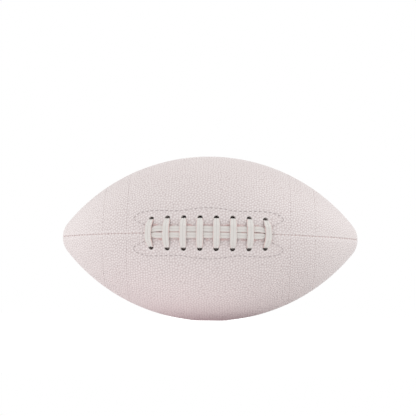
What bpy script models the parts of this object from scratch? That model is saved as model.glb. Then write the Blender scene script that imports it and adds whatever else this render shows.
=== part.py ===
"""An american football: four turned leather panels, their linings, a bladder and one lace.

The long axis is X, +Z is up, the lacing faces -Y and the origin is the ball's centre.
A place on the ball is given by its lean (how far the skin's normal leans towards a tip),
its turn about X (0 at the lacing, a quarter turn at the top) and its depth under the surface.
"""

import bisect
import math

import bmesh
import bpy
from mathutils import Matrix, Vector

MM = 0.001

# The ball's outline: one long arc that runs into a small round tip
LENGTH = 279.4 * MM
DIAMETER = 155.6 * MM
TIP_RADIUS = 21.5 * MM
TIP_OPENING = 1.5 * MM  # radius where the four panels' points meet
REST_FLAT_DEPTH = 0.5 * MM  # how far the belly is pressed flat where the ball lies

# Thickness of each layer, and the clearance between layers
LEATHER = 2.0 * MM
LINING = 1.1 * MM
FACING = 1.2 * MM
GUARD = 1.2 * MM
BLADDER = 0.9 * MM
LAYER_GAP = 0.3 * MM

# The seams: both leather edges turn inwards and meet face to face
SEAM_GAP = 0.3 * MM
FOLD_RADIUS = 1.8 * MM
TURNED_EDGE = 1.6 * MM  # the turned edge is shaved a little thinner than the panel
FOLD_SHARE = 0.25  # near a tip the fold shrinks to this share of the ball's radius there
EDGE_SHARE = 0.45
SEAM_THREAD = 0.5 * MM
SEAM_THREAD_GAP = 0.15 * MM
SEAM_THREAD_END = math.radians(70)  # lean at which a seam's thread ends

# The lacing: eight crosses over two runs along the opening
CROSSES = 8
PITCH = 14.6 * MM
HOLE = 4.8 * MM
HOLE_REACH = 13.8 * MM  # from the seam to a hole's centre, along the surface
HOLE_DRAW_IN = 1.0 * MM  # the outermost holes lie this much nearer to the seam
END_HOLE = 5.8 * MM  # round mouth at each end of the opening
END_HOLE_REACH = 1.9 * MM  # from the last cross to the mouth's centre
LACE_WIDTH = 5.6 * MM
RUN_WIDTH = 5.4 * MM
LACE_THICKNESS = 1.2 * MM
LACE_GAP = 0.3 * MM
INNER_RUN_GAP = 0.55 * MM  # from the facings to the lace's runs inside the ball
GUARD_GAP = 0.65 * MM  # from those runs to the guard
PULL = 0.9 * MM  # the tight lace lies on the seam's side of each hole
RUN_SHIFT = 0.7 * MM  # both long runs lie this much above the seam
RUN_APART = 0.3 * MM
CROSS_BOW = 2.0 * MM  # how far the outermost crosses bow outwards
TAIL_INSET = 1.5 * MM  # a loose end stops this much before the end of the facing it lies on

# The wavy row of stitches that holds each facing, and the facing's edge outside it
STITCH_HALF_LENGTH = 67.8 * MM
STITCH_REACH = 23.2 * MM
STITCH_THREAD = 0.6 * MM
FACING_MARGIN = 3.0 * MM
# Half of the row, in shares of its half length and its reach: from its middle, round its end
# and back to the end of the opening
STITCH_SHAPE = [
    (0.0, 1.0),
    (0.12, 0.98),
    (0.24, 0.93),
    (0.33, 0.885),
    (0.42, 0.867),
    (0.54, 0.878),
    (0.67, 0.896),
    (0.77, 0.88),
    (0.865, 0.84),
    (0.92, 0.785),
    (0.97, 0.7),
    (1.0, 0.61),
    (0.99, 0.54),
    (0.95, 0.465),
    (0.89, 0.39),
    (0.83, 0.3),
]

# The guard between the lace's inner runs and the bladder
GUARD_HALF_WIDTH = 14.5 * MM
GUARD_HALF_LENGTH = 59.0 * MM
GUARD_CORNER = 10.0 * MM
GUARD_CORNER_STEPS = 3
DENT_MARGIN = 2.0 * MM
DENT_SLOPE_ACROSS = 13.0 * MM
DENT_SLOPE_ALONG = 25.0 * MM

# The valve, in the upper back panel
VALVE_FROM_SEAM = 30.5 * MM
VALVE_STEM = 7.6 * MM
VALVE_SINK = 0.3 * MM
VALVE_FLANGE = 18.0 * MM
VALVE_FLANGE_RIM = 1.0 * MM
VALVE_FLANGE_DISH = 1.2 * MM
VALVE_NOSE = 5.0 * MM
VALVE_LENGTH = 14.0 * MM
NEEDLE_BORE = 1.8 * MM

# How finely the round forms are divided
MIDDLE_STEPS = 20
TIP_STEPS = 3
SKIN_STEPS = 8
FOLD_STEPS = 2
HOLE_SIDES = 10
VALVE_SIDES = 16
RUN_STEPS = 8
PUNCH_OVER = 5.0 * MM  # how far a punch starts outside the skin

# Depths that follow from the layers
LINING_DEPTH = LEATHER + LAYER_GAP
EDGE_DEPTH = LINING_DEPTH + LINING
BLADDER_DEPTH = EDGE_DEPTH + LAYER_GAP
FACING_DEPTH = LEATHER + LAYER_GAP
INNER_RUN_DEPTH = FACING_DEPTH + FACING + INNER_RUN_GAP + LACE_THICKNESS / 2
GUARD_DEPTH = INNER_RUN_DEPTH + LACE_THICKNESS / 2 + GUARD_GAP
DENTED_DEPTH = GUARD_DEPTH + GUARD + LAYER_GAP
OVER_SKIN = -(LACE_GAP + LACE_THICKNESS / 2)
OVER_RUNS = OVER_SKIN - LACE_THICKNESS - LACE_GAP

# Where the opening ends, and how long the lace's loose ends are behind it
LAST_CROSS = (CROSSES - 1) / 2 * PITCH
MOUTH = LAST_CROSS + END_HOLE_REACH
TAIL = STITCH_HALF_LENGTH + FACING_MARGIN - TAIL_INSET - MOUTH

# The lace's points where it bunches up to pass a hole. A row holds the distance from the hole
# or mouth, the depth, the width and the thickness.
HOLE_ROWS = [
    (0.0 * MM, 3.0 * MM, 3.0 * MM, 1.8 * MM),
    (0.0 * MM, 0.4 * MM, 3.0 * MM, 1.8 * MM),
    (0.3 * MM, -0.45 * MM, 3.2 * MM, 1.6 * MM),
    (1.1 * MM, -1.0 * MM, 4.2 * MM, 1.4 * MM),
    (2.4 * MM, -1.3 * MM, 5.2 * MM, 1.25 * MM),
    (4.0 * MM, -1.75 * MM, LACE_WIDTH, LACE_THICKNESS),
]
INSIDE_ROWS = [
    (0.1 * MM, 4.1 * MM, 2.8 * MM, 1.5 * MM),
    (1.0 * MM, 4.9 * MM, 3.6 * MM, 1.3 * MM),
    (3.0 * MM, INNER_RUN_DEPTH, LACE_WIDTH, LACE_THICKNESS),
]
OVER_PLACES = (6.9 * MM, 3.5 * MM)  # a cross's other points, from the seam
# Here a row ends with the share of the way from the place in the mouth to that of the long run
MOUTH_ROWS = [
    (0.0 * MM, 1.3 * MM, 2.1 * MM, 1.9 * MM, 0.0),
    (0.4 * MM, 0.1 * MM, 2.1 * MM, 1.8 * MM, 0.0),
    (1.4 * MM, -0.85 * MM, 2.6 * MM, 1.4 * MM, 0.1),
    (2.8 * MM, OVER_SKIN, 3.6 * MM, 1.3 * MM, 0.47),
    (4.2 * MM, OVER_SKIN, 4.7 * MM, LACE_THICKNESS, 0.78),
    (5.8 * MM, OVER_SKIN, RUN_WIDTH, LACE_THICKNESS, 1.0),
]
# And here with the share of the way from the seam's line back to the place in the mouth
TAIL_ROWS = [
    (0.0 * MM, 2.7 * MM, 2.1 * MM, 1.9 * MM, 1.0),
    (0.4 * MM, 3.9 * MM, 2.4 * MM, 1.7 * MM, 1.0),
    (1.4 * MM, INNER_RUN_DEPTH, 3.2 * MM, 1.4 * MM, 0.9),
    (4.0 * MM, INNER_RUN_DEPTH, 5.0 * MM, LACE_THICKNESS, 0.4),
    (TAIL / 2, INNER_RUN_DEPTH, RUN_WIDTH, LACE_THICKNESS, 0.0),
    (TAIL, INNER_RUN_DEPTH, RUN_WIDTH, LACE_THICKNESS, 0.0),
]
MOUTH_SIDE = 1.35 * MM  # in a mouth, from the seam's plane to either end of the lace
MOUTH_TURN_DEPTHS = (2.2 * MM, 3.1 * MM)  # where the lace turns in a mouth to run across
MOUTH_TURN_SIZE = 2.05 * MM

# Cross-sections, in shares of half the width and half the thickness
LACE_SECTION = [(1, 0), (0.82, 1), (-0.82, 1), (-1, 0), (-0.82, -1), (0.82, -1)]
THREAD_SECTION = [(1, 0), (0, 1), (-1, 0), (0, -1)]

# The outline's arc, from the length, the diameter and the tip
BELLY = DIAMETER / 2
TIP_CENTRE = LENGTH / 2 - TIP_RADIUS
ARC_RADIUS = (TIP_CENTRE**2 + BELLY**2 - TIP_RADIUS**2) / (2 * (BELLY - TIP_RADIUS))
ARC_SINK = ARC_RADIUS - BELLY
TANGENT_LEAN = math.atan2(TIP_CENTRE, ARC_SINK)
LAST_LEAN = math.acos(TIP_OPENING / TIP_RADIUS)

QUARTER = math.pi / 2
LEATHER_WHITE = (0.78, 0.70, 0.70)
LACE_WHITE = (0.74, 0.73, 0.68)
THREAD_WHITE = (0.70, 0.64, 0.63)
FABRIC_GREY = (0.62, 0.60, 0.56)
RUBBER_BLACK = (0.03, 0.03, 0.03)


def leans():
    """The leans at which the panels have their rings of points."""
    middle = [TANGENT_LEAN * (2 * i / MIDDLE_STEPS - 1) for i in range(MIDDLE_STEPS + 1)]
    step = (LAST_LEAN - TANGENT_LEAN) / TIP_STEPS
    tip = [TANGENT_LEAN + step * (i + 1) for i in range(TIP_STEPS)]
    return [-lean for lean in reversed(tip)] + middle + tip


FINE = leans()
COARSE = FINE[1::2]


def skin(lean, depth=0.0):
    """Axial place and radius of the skin at a lean, at a depth under the surface."""
    if abs(lean) <= TANGENT_LEAN:
        radius = ARC_RADIUS - depth
        return radius * math.sin(lean), radius * math.cos(lean) - ARC_SINK
    radius = TIP_RADIUS - depth
    return math.copysign(TIP_CENTRE, lean) + radius * math.sin(lean), radius * math.cos(lean)


def place(along, radius, turn):
    """The point at an axial place and a radius, turned about X from the lacing."""
    return Vector((along, -radius * math.cos(turn), radius * math.sin(turn)))


def outward(lean, turn):
    """The skin's normal."""
    return Vector((math.sin(lean), 0, 0)) + place(0, math.cos(lean), turn)


def lean_at(along):
    """The lean of the outer skin at an axial place on the long arc."""
    return math.asin(along / ARC_RADIUS)


def turn_of(along, across):
    """The turn about X at an arc distance above the front seam."""
    return across / skin(lean_at(along))[1]


def on_skin(along, across, depth):
    """A point at an axial place and an arc distance above the front seam, on the true surface."""
    x, radius = skin(lean_at(along), depth)
    return place(x, radius, turn_of(along, across))


def edge_width(lean):
    """Distance from a seam's middle plane to the inner side of a turned edge."""
    return SEAM_GAP / 2 + min(TURNED_EDGE, EDGE_SHARE * skin(lean)[1])


def skin_turns(width, radius):
    """Turns across one panel, from a distance beside one seam to the same beside the next."""
    start = math.asin(width / radius)
    step = (QUARTER - 2 * start) / SKIN_STEPS
    return [start + step * i for i in range(SKIN_STEPS + 1)]


def on_facets(along, across, depth):
    """Like on_skin, but on the coarse flat facets that the linings and facings have."""
    rows = [skin(lean, depth) for lean in COARSE]
    x = skin(lean_at(along), depth)[0]
    found = bisect.bisect([row[0] for row in rows], x)
    low, high = rows[found - 1], rows[found]
    share = (x - low[0]) / (high[0] - low[0])
    radius = low[1] + share * (high[1] - low[1])
    turn = turn_of(along, across)
    corners = [0.0] + skin_turns(edge_width(0) + LAYER_GAP, radius)[1:]
    found = bisect.bisect(corners, abs(turn))
    middle = (corners[found - 1] + corners[found]) / 2
    half = (corners[found] - corners[found - 1]) / 2
    return place(x, radius * math.cos(half) / math.cos(abs(turn) - middle), turn)


def leans_over(reach, depth):
    """The coarse leans of a layer that is to be cut to an axial reach, at its deepest."""
    past = min(skin(lean, depth)[0] for lean in COARSE if skin(lean, depth)[0] > reach)
    return [lean for lean in COARSE if abs(skin(lean, depth)[0]) < past + LAYER_GAP]


def hole_reach(along):
    """Distance of a lace hole's centre from the seam."""
    return HOLE_REACH - HOLE_DRAW_IN * (along / LAST_CROSS) ** 4


def cross_places():
    """Axial places of the crosses, from left to right."""
    return [(i - (CROSSES - 1) / 2) * PITCH for i in range(CROSSES)]


def stitch_line(margin=0.0):
    """Places (along, across) on the upper row of stitches, or on a line outside it."""
    half = [(STITCH_HALF_LENGTH * along, STITCH_REACH * across) for along, across in STITCH_SHAPE]
    line = [Vector((-along, across)) for along, across in reversed(half[1:])]
    line += [Vector(spot) for spot in half]
    moved = []
    for i, spot in enumerate(line):
        ahead = (line[min(i + 1, len(line) - 1)] - line[max(i - 1, 0)]).normalized()
        moved.append((spot.x - ahead.y * margin, spot.y + ahead.x * margin))
    return moved


def material(name, colour, roughness, metallic=0.0):
    """A Principled material with one colour."""
    made = bpy.data.materials.new(name)
    made.use_nodes = True
    shader = made.node_tree.nodes["Principled BSDF"]
    shader.inputs["Base Color"].default_value = (*colour, 1)
    shader.inputs["Roughness"].default_value = roughness
    shader.inputs["Metallic"].default_value = metallic
    made.diffuse_color = (*colour, 1)
    return made


def finish(name, mesh_data, finish_material=None):
    """Turn a bmesh into a named object, shaded smooth up to its real edges."""
    mesh = bpy.data.meshes.new(name)
    mesh_data.to_mesh(mesh)
    mesh_data.free()
    mesh.shade_smooth()
    mesh.set_sharp_from_angle(angle=math.radians(30))
    made = bpy.data.objects.new(name, mesh)
    bpy.context.collection.objects.link(made)
    if finish_material:
        mesh.materials.append(finish_material)
    return made


def hide_guide(guide):
    """Mark an object as a cutter that is not part of the ball."""
    guide.hide_render = True
    guide.display_type = "WIRE"
    return guide


def boolean(target, operation, cutter):
    """Cut a target with a cutter, or keep only what lies inside it."""
    cut = target.modifiers.new(cutter.name, "BOOLEAN")
    cut.operation = operation
    cut.solver = "EXACT"
    cut.object = cutter


def loft(rings, caps):
    """A closed bmesh through rings of points, with each end closed by the same faces."""
    shape = bmesh.new()
    rows = [[shape.verts.new(point) for point in ring] for ring in rings]
    count = len(rows[0])
    for first, second in zip(rows, rows[1:]):
        for i in range(count):
            j = (i + 1) % count
            shape.faces.new((first[i], first[j], second[j], second[i]))
    for row in (rows[0], rows[-1]):
        for cap in caps:
            shape.faces.new([row[i] for i in cap])
    bmesh.ops.recalc_face_normals(shape, faces=shape.faces)
    return shape


def strip_caps(count):
    """Faces that close the end of a flat ring whose second half runs back beside its first."""
    half = count // 2
    return [(i, i + 1, count - 2 - i, count - 1 - i) for i in range(half - 1)]


def sweep(rows, section):
    """A closed bmesh along rows of (point, width, thickness, sideways direction)."""
    points = [row[0] for row in rows]
    rings = []
    for i, (point, width, thickness, sideways) in enumerate(rows):
        ahead = (points[min(i + 1, len(points) - 1)] - points[max(i - 1, 0)]).normalized()
        side = (sideways - sideways.dot(ahead) * ahead).normalized()
        up = ahead.cross(side)
        rings.append([point + side * (a * width / 2) + up * (b * thickness / 2) for a, b in section])
    return loft(rings, [tuple(range(len(section)))])


def panel_ring(lean, start):
    """The closed section of one panel: skin, folds over both seams, and turned edges."""
    rim = skin(lean)[1]
    fold = min(FOLD_RADIUS, FOLD_SHARE * rim)
    inner = edge_width(lean)
    outer = [(SEAM_GAP / 2, EDGE_DEPTH), (SEAM_GAP / 2, fold)]
    for i in range(FOLD_STEPS):
        bend = QUARTER * (i + 1) / FOLD_STEPS
        outer.append((SEAM_GAP / 2 + fold * (1 - math.cos(bend)), fold * (1 - math.sin(bend))))

    def turned(width, depth, far):
        x, radius = skin(lean, depth)
        turn = math.asin(width / radius)
        return place(x, radius, start + (QUARTER - turn if far else turn))

    def span(width, depth):
        x, radius = skin(lean, depth)
        return [place(x, radius, start + turn) for turn in skin_turns(width, radius)[1:-1]]

    ring = [turned(width, depth, False) for width, depth in outer]
    ring += span(SEAM_GAP / 2 + fold, 0.0)
    ring += [turned(width, depth, True) for width, depth in reversed(outer)]
    ring += [turned(inner, EDGE_DEPTH, True), turned(inner, LEATHER, True)]
    ring += reversed(span(inner, LEATHER))
    ring += [turned(inner, LEATHER, False), turned(inner, EDGE_DEPTH, False)]
    return ring


def panel_caps():
    """Faces that close a panel's pointed end."""
    lip = FOLD_STEPS + 2
    span = SKIN_STEPS - 1
    total = 2 * lip + 2 * span + 4
    first_inner = 2 * lip + span + 2
    near = tuple(range(lip + 1)) + tuple(range(total - 3, total))
    far = tuple(range(lip + span - 1, first_inner + 1))
    strip = []
    for i in range(span - 1):
        a = lip + i
        b = first_inner + span - 1 - i
        strip.append((a, a + 1, b - 1, b))
    return [near, far] + strip


def make_panel(name, quarter, finish_material):
    """One leather panel, from one seam to the next."""
    rings = [panel_ring(lean, quarter * QUARTER) for lean in FINE]
    return finish(name, loft(rings, panel_caps()), finish_material)


def layer_ring(lean, start, depth, thickness, turns=None):
    """The closed section of a thin layer behind one panel."""
    ring = []
    for level, order in ((depth, 1), (depth + thickness, -1)):
        x, radius = skin(lean, level)
        angles = skin_turns(edge_width(lean) + LAYER_GAP, radius) if turns is None else turns
        ring += [place(x, radius, start + turn) for turn in angles][::order]
    return ring


def make_lining(name, quarter, finish_material):
    """The fabric behind one panel, which stops short of the turned edges."""
    rings = [layer_ring(lean, quarter * QUARTER, LINING_DEPTH, LINING) for lean in COARSE]
    return finish(name, loft(rings, strip_caps(len(rings[0]))), finish_material)


def make_outline_prism(name, above, margin):
    """A guide as wide as the stitched outline and a margin, which reaches through the front."""
    shape = bmesh.new()
    side = 1 if above else -1
    end = STITCH_HALF_LENGTH * STITCH_SHAPE[-1][0] + margin
    corners = [(-end, 0.0)] + stitch_line(margin) + [(end, 0.0)]
    verts = []
    for along, across in corners:
        z = side * skin(lean_at(along))[1] * math.sin(turn_of(along, across))
        verts.append(shape.verts.new((along, -BELLY - PUNCH_OVER, z)))
    base = shape.faces.new(verts)
    pushed = bmesh.ops.extrude_face_region(shape, geom=[base])
    moved = [item for item in pushed["geom"] if isinstance(item, bmesh.types.BMVert)]
    bmesh.ops.translate(shape, verts=moved, vec=(0, BELLY / 2, 0))
    bmesh.ops.recalc_face_normals(shape, faces=shape.faces)
    return hide_guide(finish(name, shape))


def make_facing(name, quarter, above, finish_material):
    """The reinforcement behind one row of lace holes, cut to the stitched outline."""
    start = quarter * QUARTER
    rings = []
    for lean in leans_over(STITCH_HALF_LENGTH + FACING_MARGIN, FACING_DEPTH + FACING):
        ring = []
        for level, order in ((FACING_DEPTH, 1), (FACING_DEPTH + FACING, -1)):
            x, radius = skin(lean, level)
            turns = skin_turns(edge_width(lean) + LAYER_GAP, radius)
            turns = turns[:3] if above else turns[-3:]
            ring += [place(x, radius, start + turn) for turn in turns][::order]
        rings.append(ring)
    made = finish(name, loft(rings, strip_caps(len(rings[0]))), finish_material)
    boolean(made, "INTERSECT", make_outline_prism(name + "_outline", above, FACING_MARGIN))
    return made


def add_cylinder(shape, centre, axis, radius, low, high, sides):
    """Add a closed cylinder to a bmesh, from one height to another along its axis."""
    turn = axis.to_track_quat("Z", "X").to_matrix().to_4x4()
    middle = Matrix.Translation(centre + axis * (low + high) / 2)
    bmesh.ops.create_cone(
        shape,
        cap_ends=True,
        segments=sides,
        radius1=radius,
        radius2=radius,
        depth=high - low,
        matrix=middle @ turn,
    )


def make_lace_punch(name, side):
    """The punch for one row of lace holes, above (1) or below (-1) the front seam."""
    shape = bmesh.new()
    for along in cross_places():
        across = side * hole_reach(along)
        centre = on_skin(along, across, 0)
        axis = outward(lean_at(along), turn_of(along, across))
        add_cylinder(shape, centre, axis, HOLE / 2, -DENTED_DEPTH, PUNCH_OVER, HOLE_SIDES)
    return hide_guide(finish(name, shape))


def make_end_punch():
    """The punch for the round mouths at both ends of the laced opening."""
    shape = bmesh.new()
    for end in (-1, 1):
        centre = on_skin(end * MOUTH, 0, 0)
        axis = outward(lean_at(end * MOUTH), 0)
        add_cylinder(shape, centre, axis, END_HOLE / 2, -DENTED_DEPTH, PUNCH_OVER, HOLE_SIDES)
    return hide_guide(finish("end_punch", shape))


def make_guard(finish_material):
    """The lace guard: a strip with round corners under the lace's inner runs."""
    radius = skin(0, GUARD_DEPTH)[1]
    corners = skin_turns(edge_width(0) + LAYER_GAP, radius)
    turns = [-corners[2], -corners[1], 0.0, corners[1], corners[2]]
    wanted = leans_over(GUARD_HALF_LENGTH, GUARD_DEPTH + GUARD)
    rings = [layer_ring(lean, 0.0, GUARD_DEPTH, GUARD, turns) for lean in wanted]
    made = finish("lace_guard", loft(rings, strip_caps(len(rings[0]))), finish_material)

    shape = bmesh.new()
    bmesh.ops.create_cube(shape, size=1)
    half_width = radius * math.sin(GUARD_HALF_WIDTH / radius)
    size = (2 * GUARD_HALF_LENGTH, BELLY / 2, 2 * half_width)
    bmesh.ops.scale(shape, verts=shape.verts, vec=size)
    bmesh.ops.translate(shape, verts=shape.verts, vec=(0, -BELLY, 0))
    upright = [edge for edge in shape.edges if abs((edge.verts[0].co - edge.verts[1].co).y) > MM]
    bmesh.ops.bevel(
        shape,
        geom=upright,
        affect="EDGES",
        offset=GUARD_CORNER,
        segments=GUARD_CORNER_STEPS,
        profile=0.5,
        material=-1,
    )
    boolean(made, "INTERSECT", hide_guide(finish("lace_guard_outline", shape)))
    return made


def fade(distance, full, slope):
    """1 up to a full distance, then down to 0 over a slope."""
    share = min(1.0, max(0.0, (distance - full) / slope))
    return 1 - share * share * (3 - 2 * share)


def bladder_depth(lean, turn):
    """How deep the bladder lies: pressed against the linings, and dented by the guard."""
    along, radius = skin(lean)
    turn = math.remainder(turn, 4 * QUARTER)
    across = abs(turn) * radius
    dent = fade(abs(along), GUARD_HALF_LENGTH + DENT_MARGIN, DENT_SLOPE_ALONG)
    dent *= fade(across, GUARD_HALF_WIDTH + DENT_MARGIN, DENT_SLOPE_ACROSS)
    return BLADDER_DEPTH + dent * (DENTED_DEPTH - BLADDER_DEPTH)


def bladder_wall(shape, inset, inside):
    """Add one closed wall of the bladder to a bmesh, facing out or, inside, facing in."""
    rows = []
    for lean in COARSE:
        row = []
        for quarter in range(4):
            radius = skin(lean, BLADDER_DEPTH)[1]
            turns = [0.0] + skin_turns(edge_width(lean) + LAYER_GAP, radius)[1:-1]
            for turn in turns:
                turn += quarter * QUARTER
                x, radius = skin(lean, bladder_depth(lean, turn) + inset)
                row.append(shape.verts.new(place(x, radius, turn)))
        rows.append(row)
    faces = []
    count = len(rows[0])
    for first, second in zip(rows, rows[1:]):
        for i in range(count):
            j = (i + 1) % count
            faces.append(shape.faces.new((first[i], first[j], second[j], second[i])))
    for row, lean in ((rows[0], -QUARTER), (rows[-1], QUARTER)):
        pole = shape.verts.new(place(*skin(lean, BLADDER_DEPTH + inset), 0))
        for i in range(count):
            faces.append(shape.faces.new((row[i], row[(i + 1) % count], pole)))
    bmesh.ops.recalc_face_normals(shape, faces=faces)
    if inside:
        bmesh.ops.reverse_faces(shape, faces=faces)


def make_bladder(finish_material):
    """The hollow rubber bladder."""
    shape = bmesh.new()
    bladder_wall(shape, 0.0, False)
    bladder_wall(shape, BLADDER, True)
    return finish("bladder", shape, finish_material)


def valve_turn():
    """The valve's turn about X: a little above the back seam."""
    return 2 * QUARTER - VALVE_FROM_SEAM / BELLY


def make_valve_punch():
    """The punch that lets the valve's stem through panel, lining and bladder."""
    shape = bmesh.new()
    turn = valve_turn()
    deep = BLADDER_DEPTH + BLADDER + LINING
    centre = place(0, BELLY, turn)
    radius = VALVE_STEM / 2 + LAYER_GAP
    add_cylinder(shape, centre, outward(0, turn), radius, -deep, PUNCH_OVER, VALVE_SIDES)
    return hide_guide(finish("valve_punch", shape))


def make_valve(finish_material):
    """The rubber valve: a stem flush with the leather, a dished flange inside the bladder,
    and a nose that the needle's bore runs through."""
    stem = VALVE_STEM / 2
    nose = VALVE_NOSE / 2
    bore = NEEDLE_BORE / 2
    rim = VALVE_FLANGE / 2
    under_wall = BLADDER_DEPTH + BLADDER + LAYER_GAP
    rim_top = under_wall + VALVE_FLANGE_DISH
    outline = [
        (bore, VALVE_SINK),
        (stem, VALVE_SINK),
        (stem, under_wall + LAYER_GAP),
        (rim, rim_top),
        (rim, rim_top + VALVE_FLANGE_RIM),
        (nose, rim_top + VALVE_FLANGE_RIM),
        (nose, VALVE_LENGTH),
        (bore, VALVE_LENGTH),
    ]
    shape = bmesh.new()
    verts = [shape.verts.new((radius, 0, -depth)) for radius, depth in outline]
    edges = [shape.edges.new((verts[i], verts[(i + 1) % len(verts)])) for i in range(len(verts))]
    bmesh.ops.spin(
        shape,
        geom=verts + edges,
        cent=(0, 0, 0),
        axis=(0, 0, 1),
        angle=4 * QUARTER,
        steps=VALVE_SIDES,
        use_merge=True,
    )
    bmesh.ops.recalc_face_normals(shape, faces=shape.faces)
    made = finish("valve", shape, finish_material)
    turn = valve_turn()
    made.location = place(0, BELLY, turn)
    made.rotation_mode = "QUATERNION"
    made.rotation_quaternion = outward(0, turn).to_track_quat("Z", "X")
    return made


def upwards(along, across):
    """The direction along the surface, across the lacing."""
    turn = turn_of(along, across)
    return Vector((0, math.sin(turn), math.cos(turn)))


def lengthwise(along, across):
    """The direction along the surface, towards the right tip."""
    lean = lean_at(along)
    return Vector((math.cos(lean), 0, 0)) + place(0, -math.sin(lean), turn_of(along, across))


def cross_rows(along):
    """A cross from its upper hole to its lower one."""
    reach = hole_reach(along) - PULL
    bow = CROSS_BOW * (along / LAST_CROSS) ** 3
    half = [(reach - toward, *row) for toward, *row in HOLE_ROWS]
    half += [(across, OVER_RUNS, LACE_WIDTH, LACE_THICKNESS) for across in OVER_PLACES]
    middle = [(0.0, OVER_RUNS, LACE_WIDTH, LACE_THICKNESS)]
    rows = []
    for across, *row in half + middle + [(-across, *row) for across, *row in half[::-1]]:
        x = along + bow * (1 - (across / reach) ** 2)
        depth, width, thickness = row
        rows.append((on_skin(x, across, depth), width, thickness, lengthwise(x, across)))
    return rows


def inner_rows(start, start_across, end, end_across, hops):
    """The lace inside the ball, from one hole's edge to another's."""
    total = end_across - start_across
    toward = math.copysign(1, total)
    marks = [(start_across + toward * near, *row) for near, *row in INSIDE_ROWS]
    last = [(end_across - toward * near, *row) for near, *row in INSIDE_ROWS]
    first, final = marks[-1][0], last[-1][0]
    for i in range(hops):
        across = first + (final - first) * (i + 1) / (hops + 1)
        marks.append((across, INNER_RUN_DEPTH, LACE_WIDTH, LACE_THICKNESS))
    rows = []
    for across, depth, width, thickness in marks + last[::-1]:
        x = start + (end - start) * (across - start_across) / total
        rows.append((on_facets(x, across, depth), width, thickness, lengthwise(x, across)))
    return rows


def run_place(above):
    """A long run's distance above the seam."""
    apart = (RUN_WIDTH + RUN_APART) / 2
    return RUN_SHIFT + (apart if above else -apart)


def run_rows(above):
    """A long run over the skin, from the left mouth to the right one."""
    inside = MOUTH_SIDE if above else -MOUTH_SIDE
    target = run_place(above)
    half = []
    for toward, depth, width, thickness, share in MOUTH_ROWS:
        across = inside + (target - inside) * share
        half.append((MOUTH - toward, across, depth, width, thickness))
    inner = half[-1][0]
    middle = [(-inner + 2 * inner * (i + 1) / RUN_STEPS, target, OVER_SKIN, RUN_WIDTH, LACE_THICKNESS)
              for i in range(RUN_STEPS - 1)]
    marks = [(-x, *rest) for x, *rest in half] + middle + half[::-1]
    return [(on_skin(x, across, depth), width, thickness, upwards(x, across))
            for x, across, depth, width, thickness in marks]


def turning_rows(end, above):
    """The lace in a mouth, from its outside end inwards, while it turns to run across."""
    mouth = end * MOUTH
    across = MOUTH_SIDE if above else -MOUTH_SIDE
    along = lengthwise(mouth, across)
    directions = (upwards(mouth, across) + along, along)
    return [(on_facets(mouth, across, depth), MOUTH_TURN_SIZE, MOUTH_TURN_SIZE, sideways)
            for depth, sideways in zip(MOUTH_TURN_DEPTHS, directions)]


def mouth_to_hole_rows(end, above):
    """The lace inside, from a mouth to the hole of the last cross."""
    side = 1 if above else -1
    hole = end * LAST_CROSS
    return inner_rows(end * MOUTH, side * MOUTH_SIDE, hole, side * (hole_reach(hole) - PULL), 0)


def tail_rows(end, above):
    """A loose end of the lace, from a mouth outwards along the seam, inside the ball."""
    inside = MOUTH_SIDE if above else -MOUTH_SIDE
    rows = []
    for away, depth, width, thickness, share in TAIL_ROWS:
        along = end * (MOUTH + away)
        across = inside * share
        point = on_facets(along, across, depth)
        rows.append((point, width, thickness, upwards(along, across)))
    return rows


def make_lace(finish_material):
    """The one lace: a tail, a long run, eight crosses from right to left, a long run, a tail."""
    places = cross_places()
    rows = tail_rows(-1, True)[::-1] + run_rows(True)
    rows += turning_rows(1, True) + mouth_to_hole_rows(1, True)
    for i in reversed(range(CROSSES)):
        rows += cross_rows(places[i])
        if i:
            reach = hole_reach(places[i]) - PULL
            next_reach = hole_reach(places[i - 1]) - PULL
            rows += inner_rows(places[i], -reach, places[i - 1], next_reach, 2)
    rows += mouth_to_hole_rows(-1, False)[::-1] + turning_rows(-1, False)[::-1]
    rows += run_rows(False) + tail_rows(1, False)
    return finish("lace", sweep(rows, LACE_SECTION), finish_material)


def seam_thread_depth():
    """Depth at which a thread lies in the valley between two folds."""
    apart = FOLD_RADIUS + SEAM_THREAD / 2 + SEAM_THREAD_GAP
    beside = FOLD_RADIUS + SEAM_GAP / 2
    return FOLD_RADIUS - math.sqrt(apart**2 - beside**2)


def make_seam_thread(name, quarter, first, last, finish_material):
    """The thread of one seam, from one lean to another, in the valley between the folds."""
    turn = quarter * QUARTER
    wanted = [first] + [lean for lean in FINE if first < lean < last] + [last]
    rows = []
    for lean in wanted:
        point = place(*skin(lean, seam_thread_depth()), turn)
        rows.append((point, SEAM_THREAD, SEAM_THREAD, outward(lean, turn)))
    return finish(name, sweep(rows, THREAD_SECTION), finish_material)


def make_facing_thread(name, side, finish_material):
    """The wavy row of stitches above (1) or below (-1) the lacing, as one lying thread."""
    rows = []
    for along, above in stitch_line():
        across = side * above
        sideways = outward(lean_at(along), turn_of(along, across))
        point = on_skin(along, across, -(LAYER_GAP + STITCH_THREAD / 2))
        rows.append((point, STITCH_THREAD, STITCH_THREAD, sideways))
    return finish(name, sweep(rows, THREAD_SECTION), finish_material)


def make_rest_cutter():
    """The floor's side of the flat on which the ball lies."""
    shape = bmesh.new()
    bmesh.ops.create_cube(shape, size=BELLY)
    drop = BELLY - REST_FLAT_DEPTH + BELLY / 2
    bmesh.ops.translate(shape, verts=shape.verts, vec=(0, 0, -drop))
    return hide_guide(finish("rest_cutter", shape))


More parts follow.
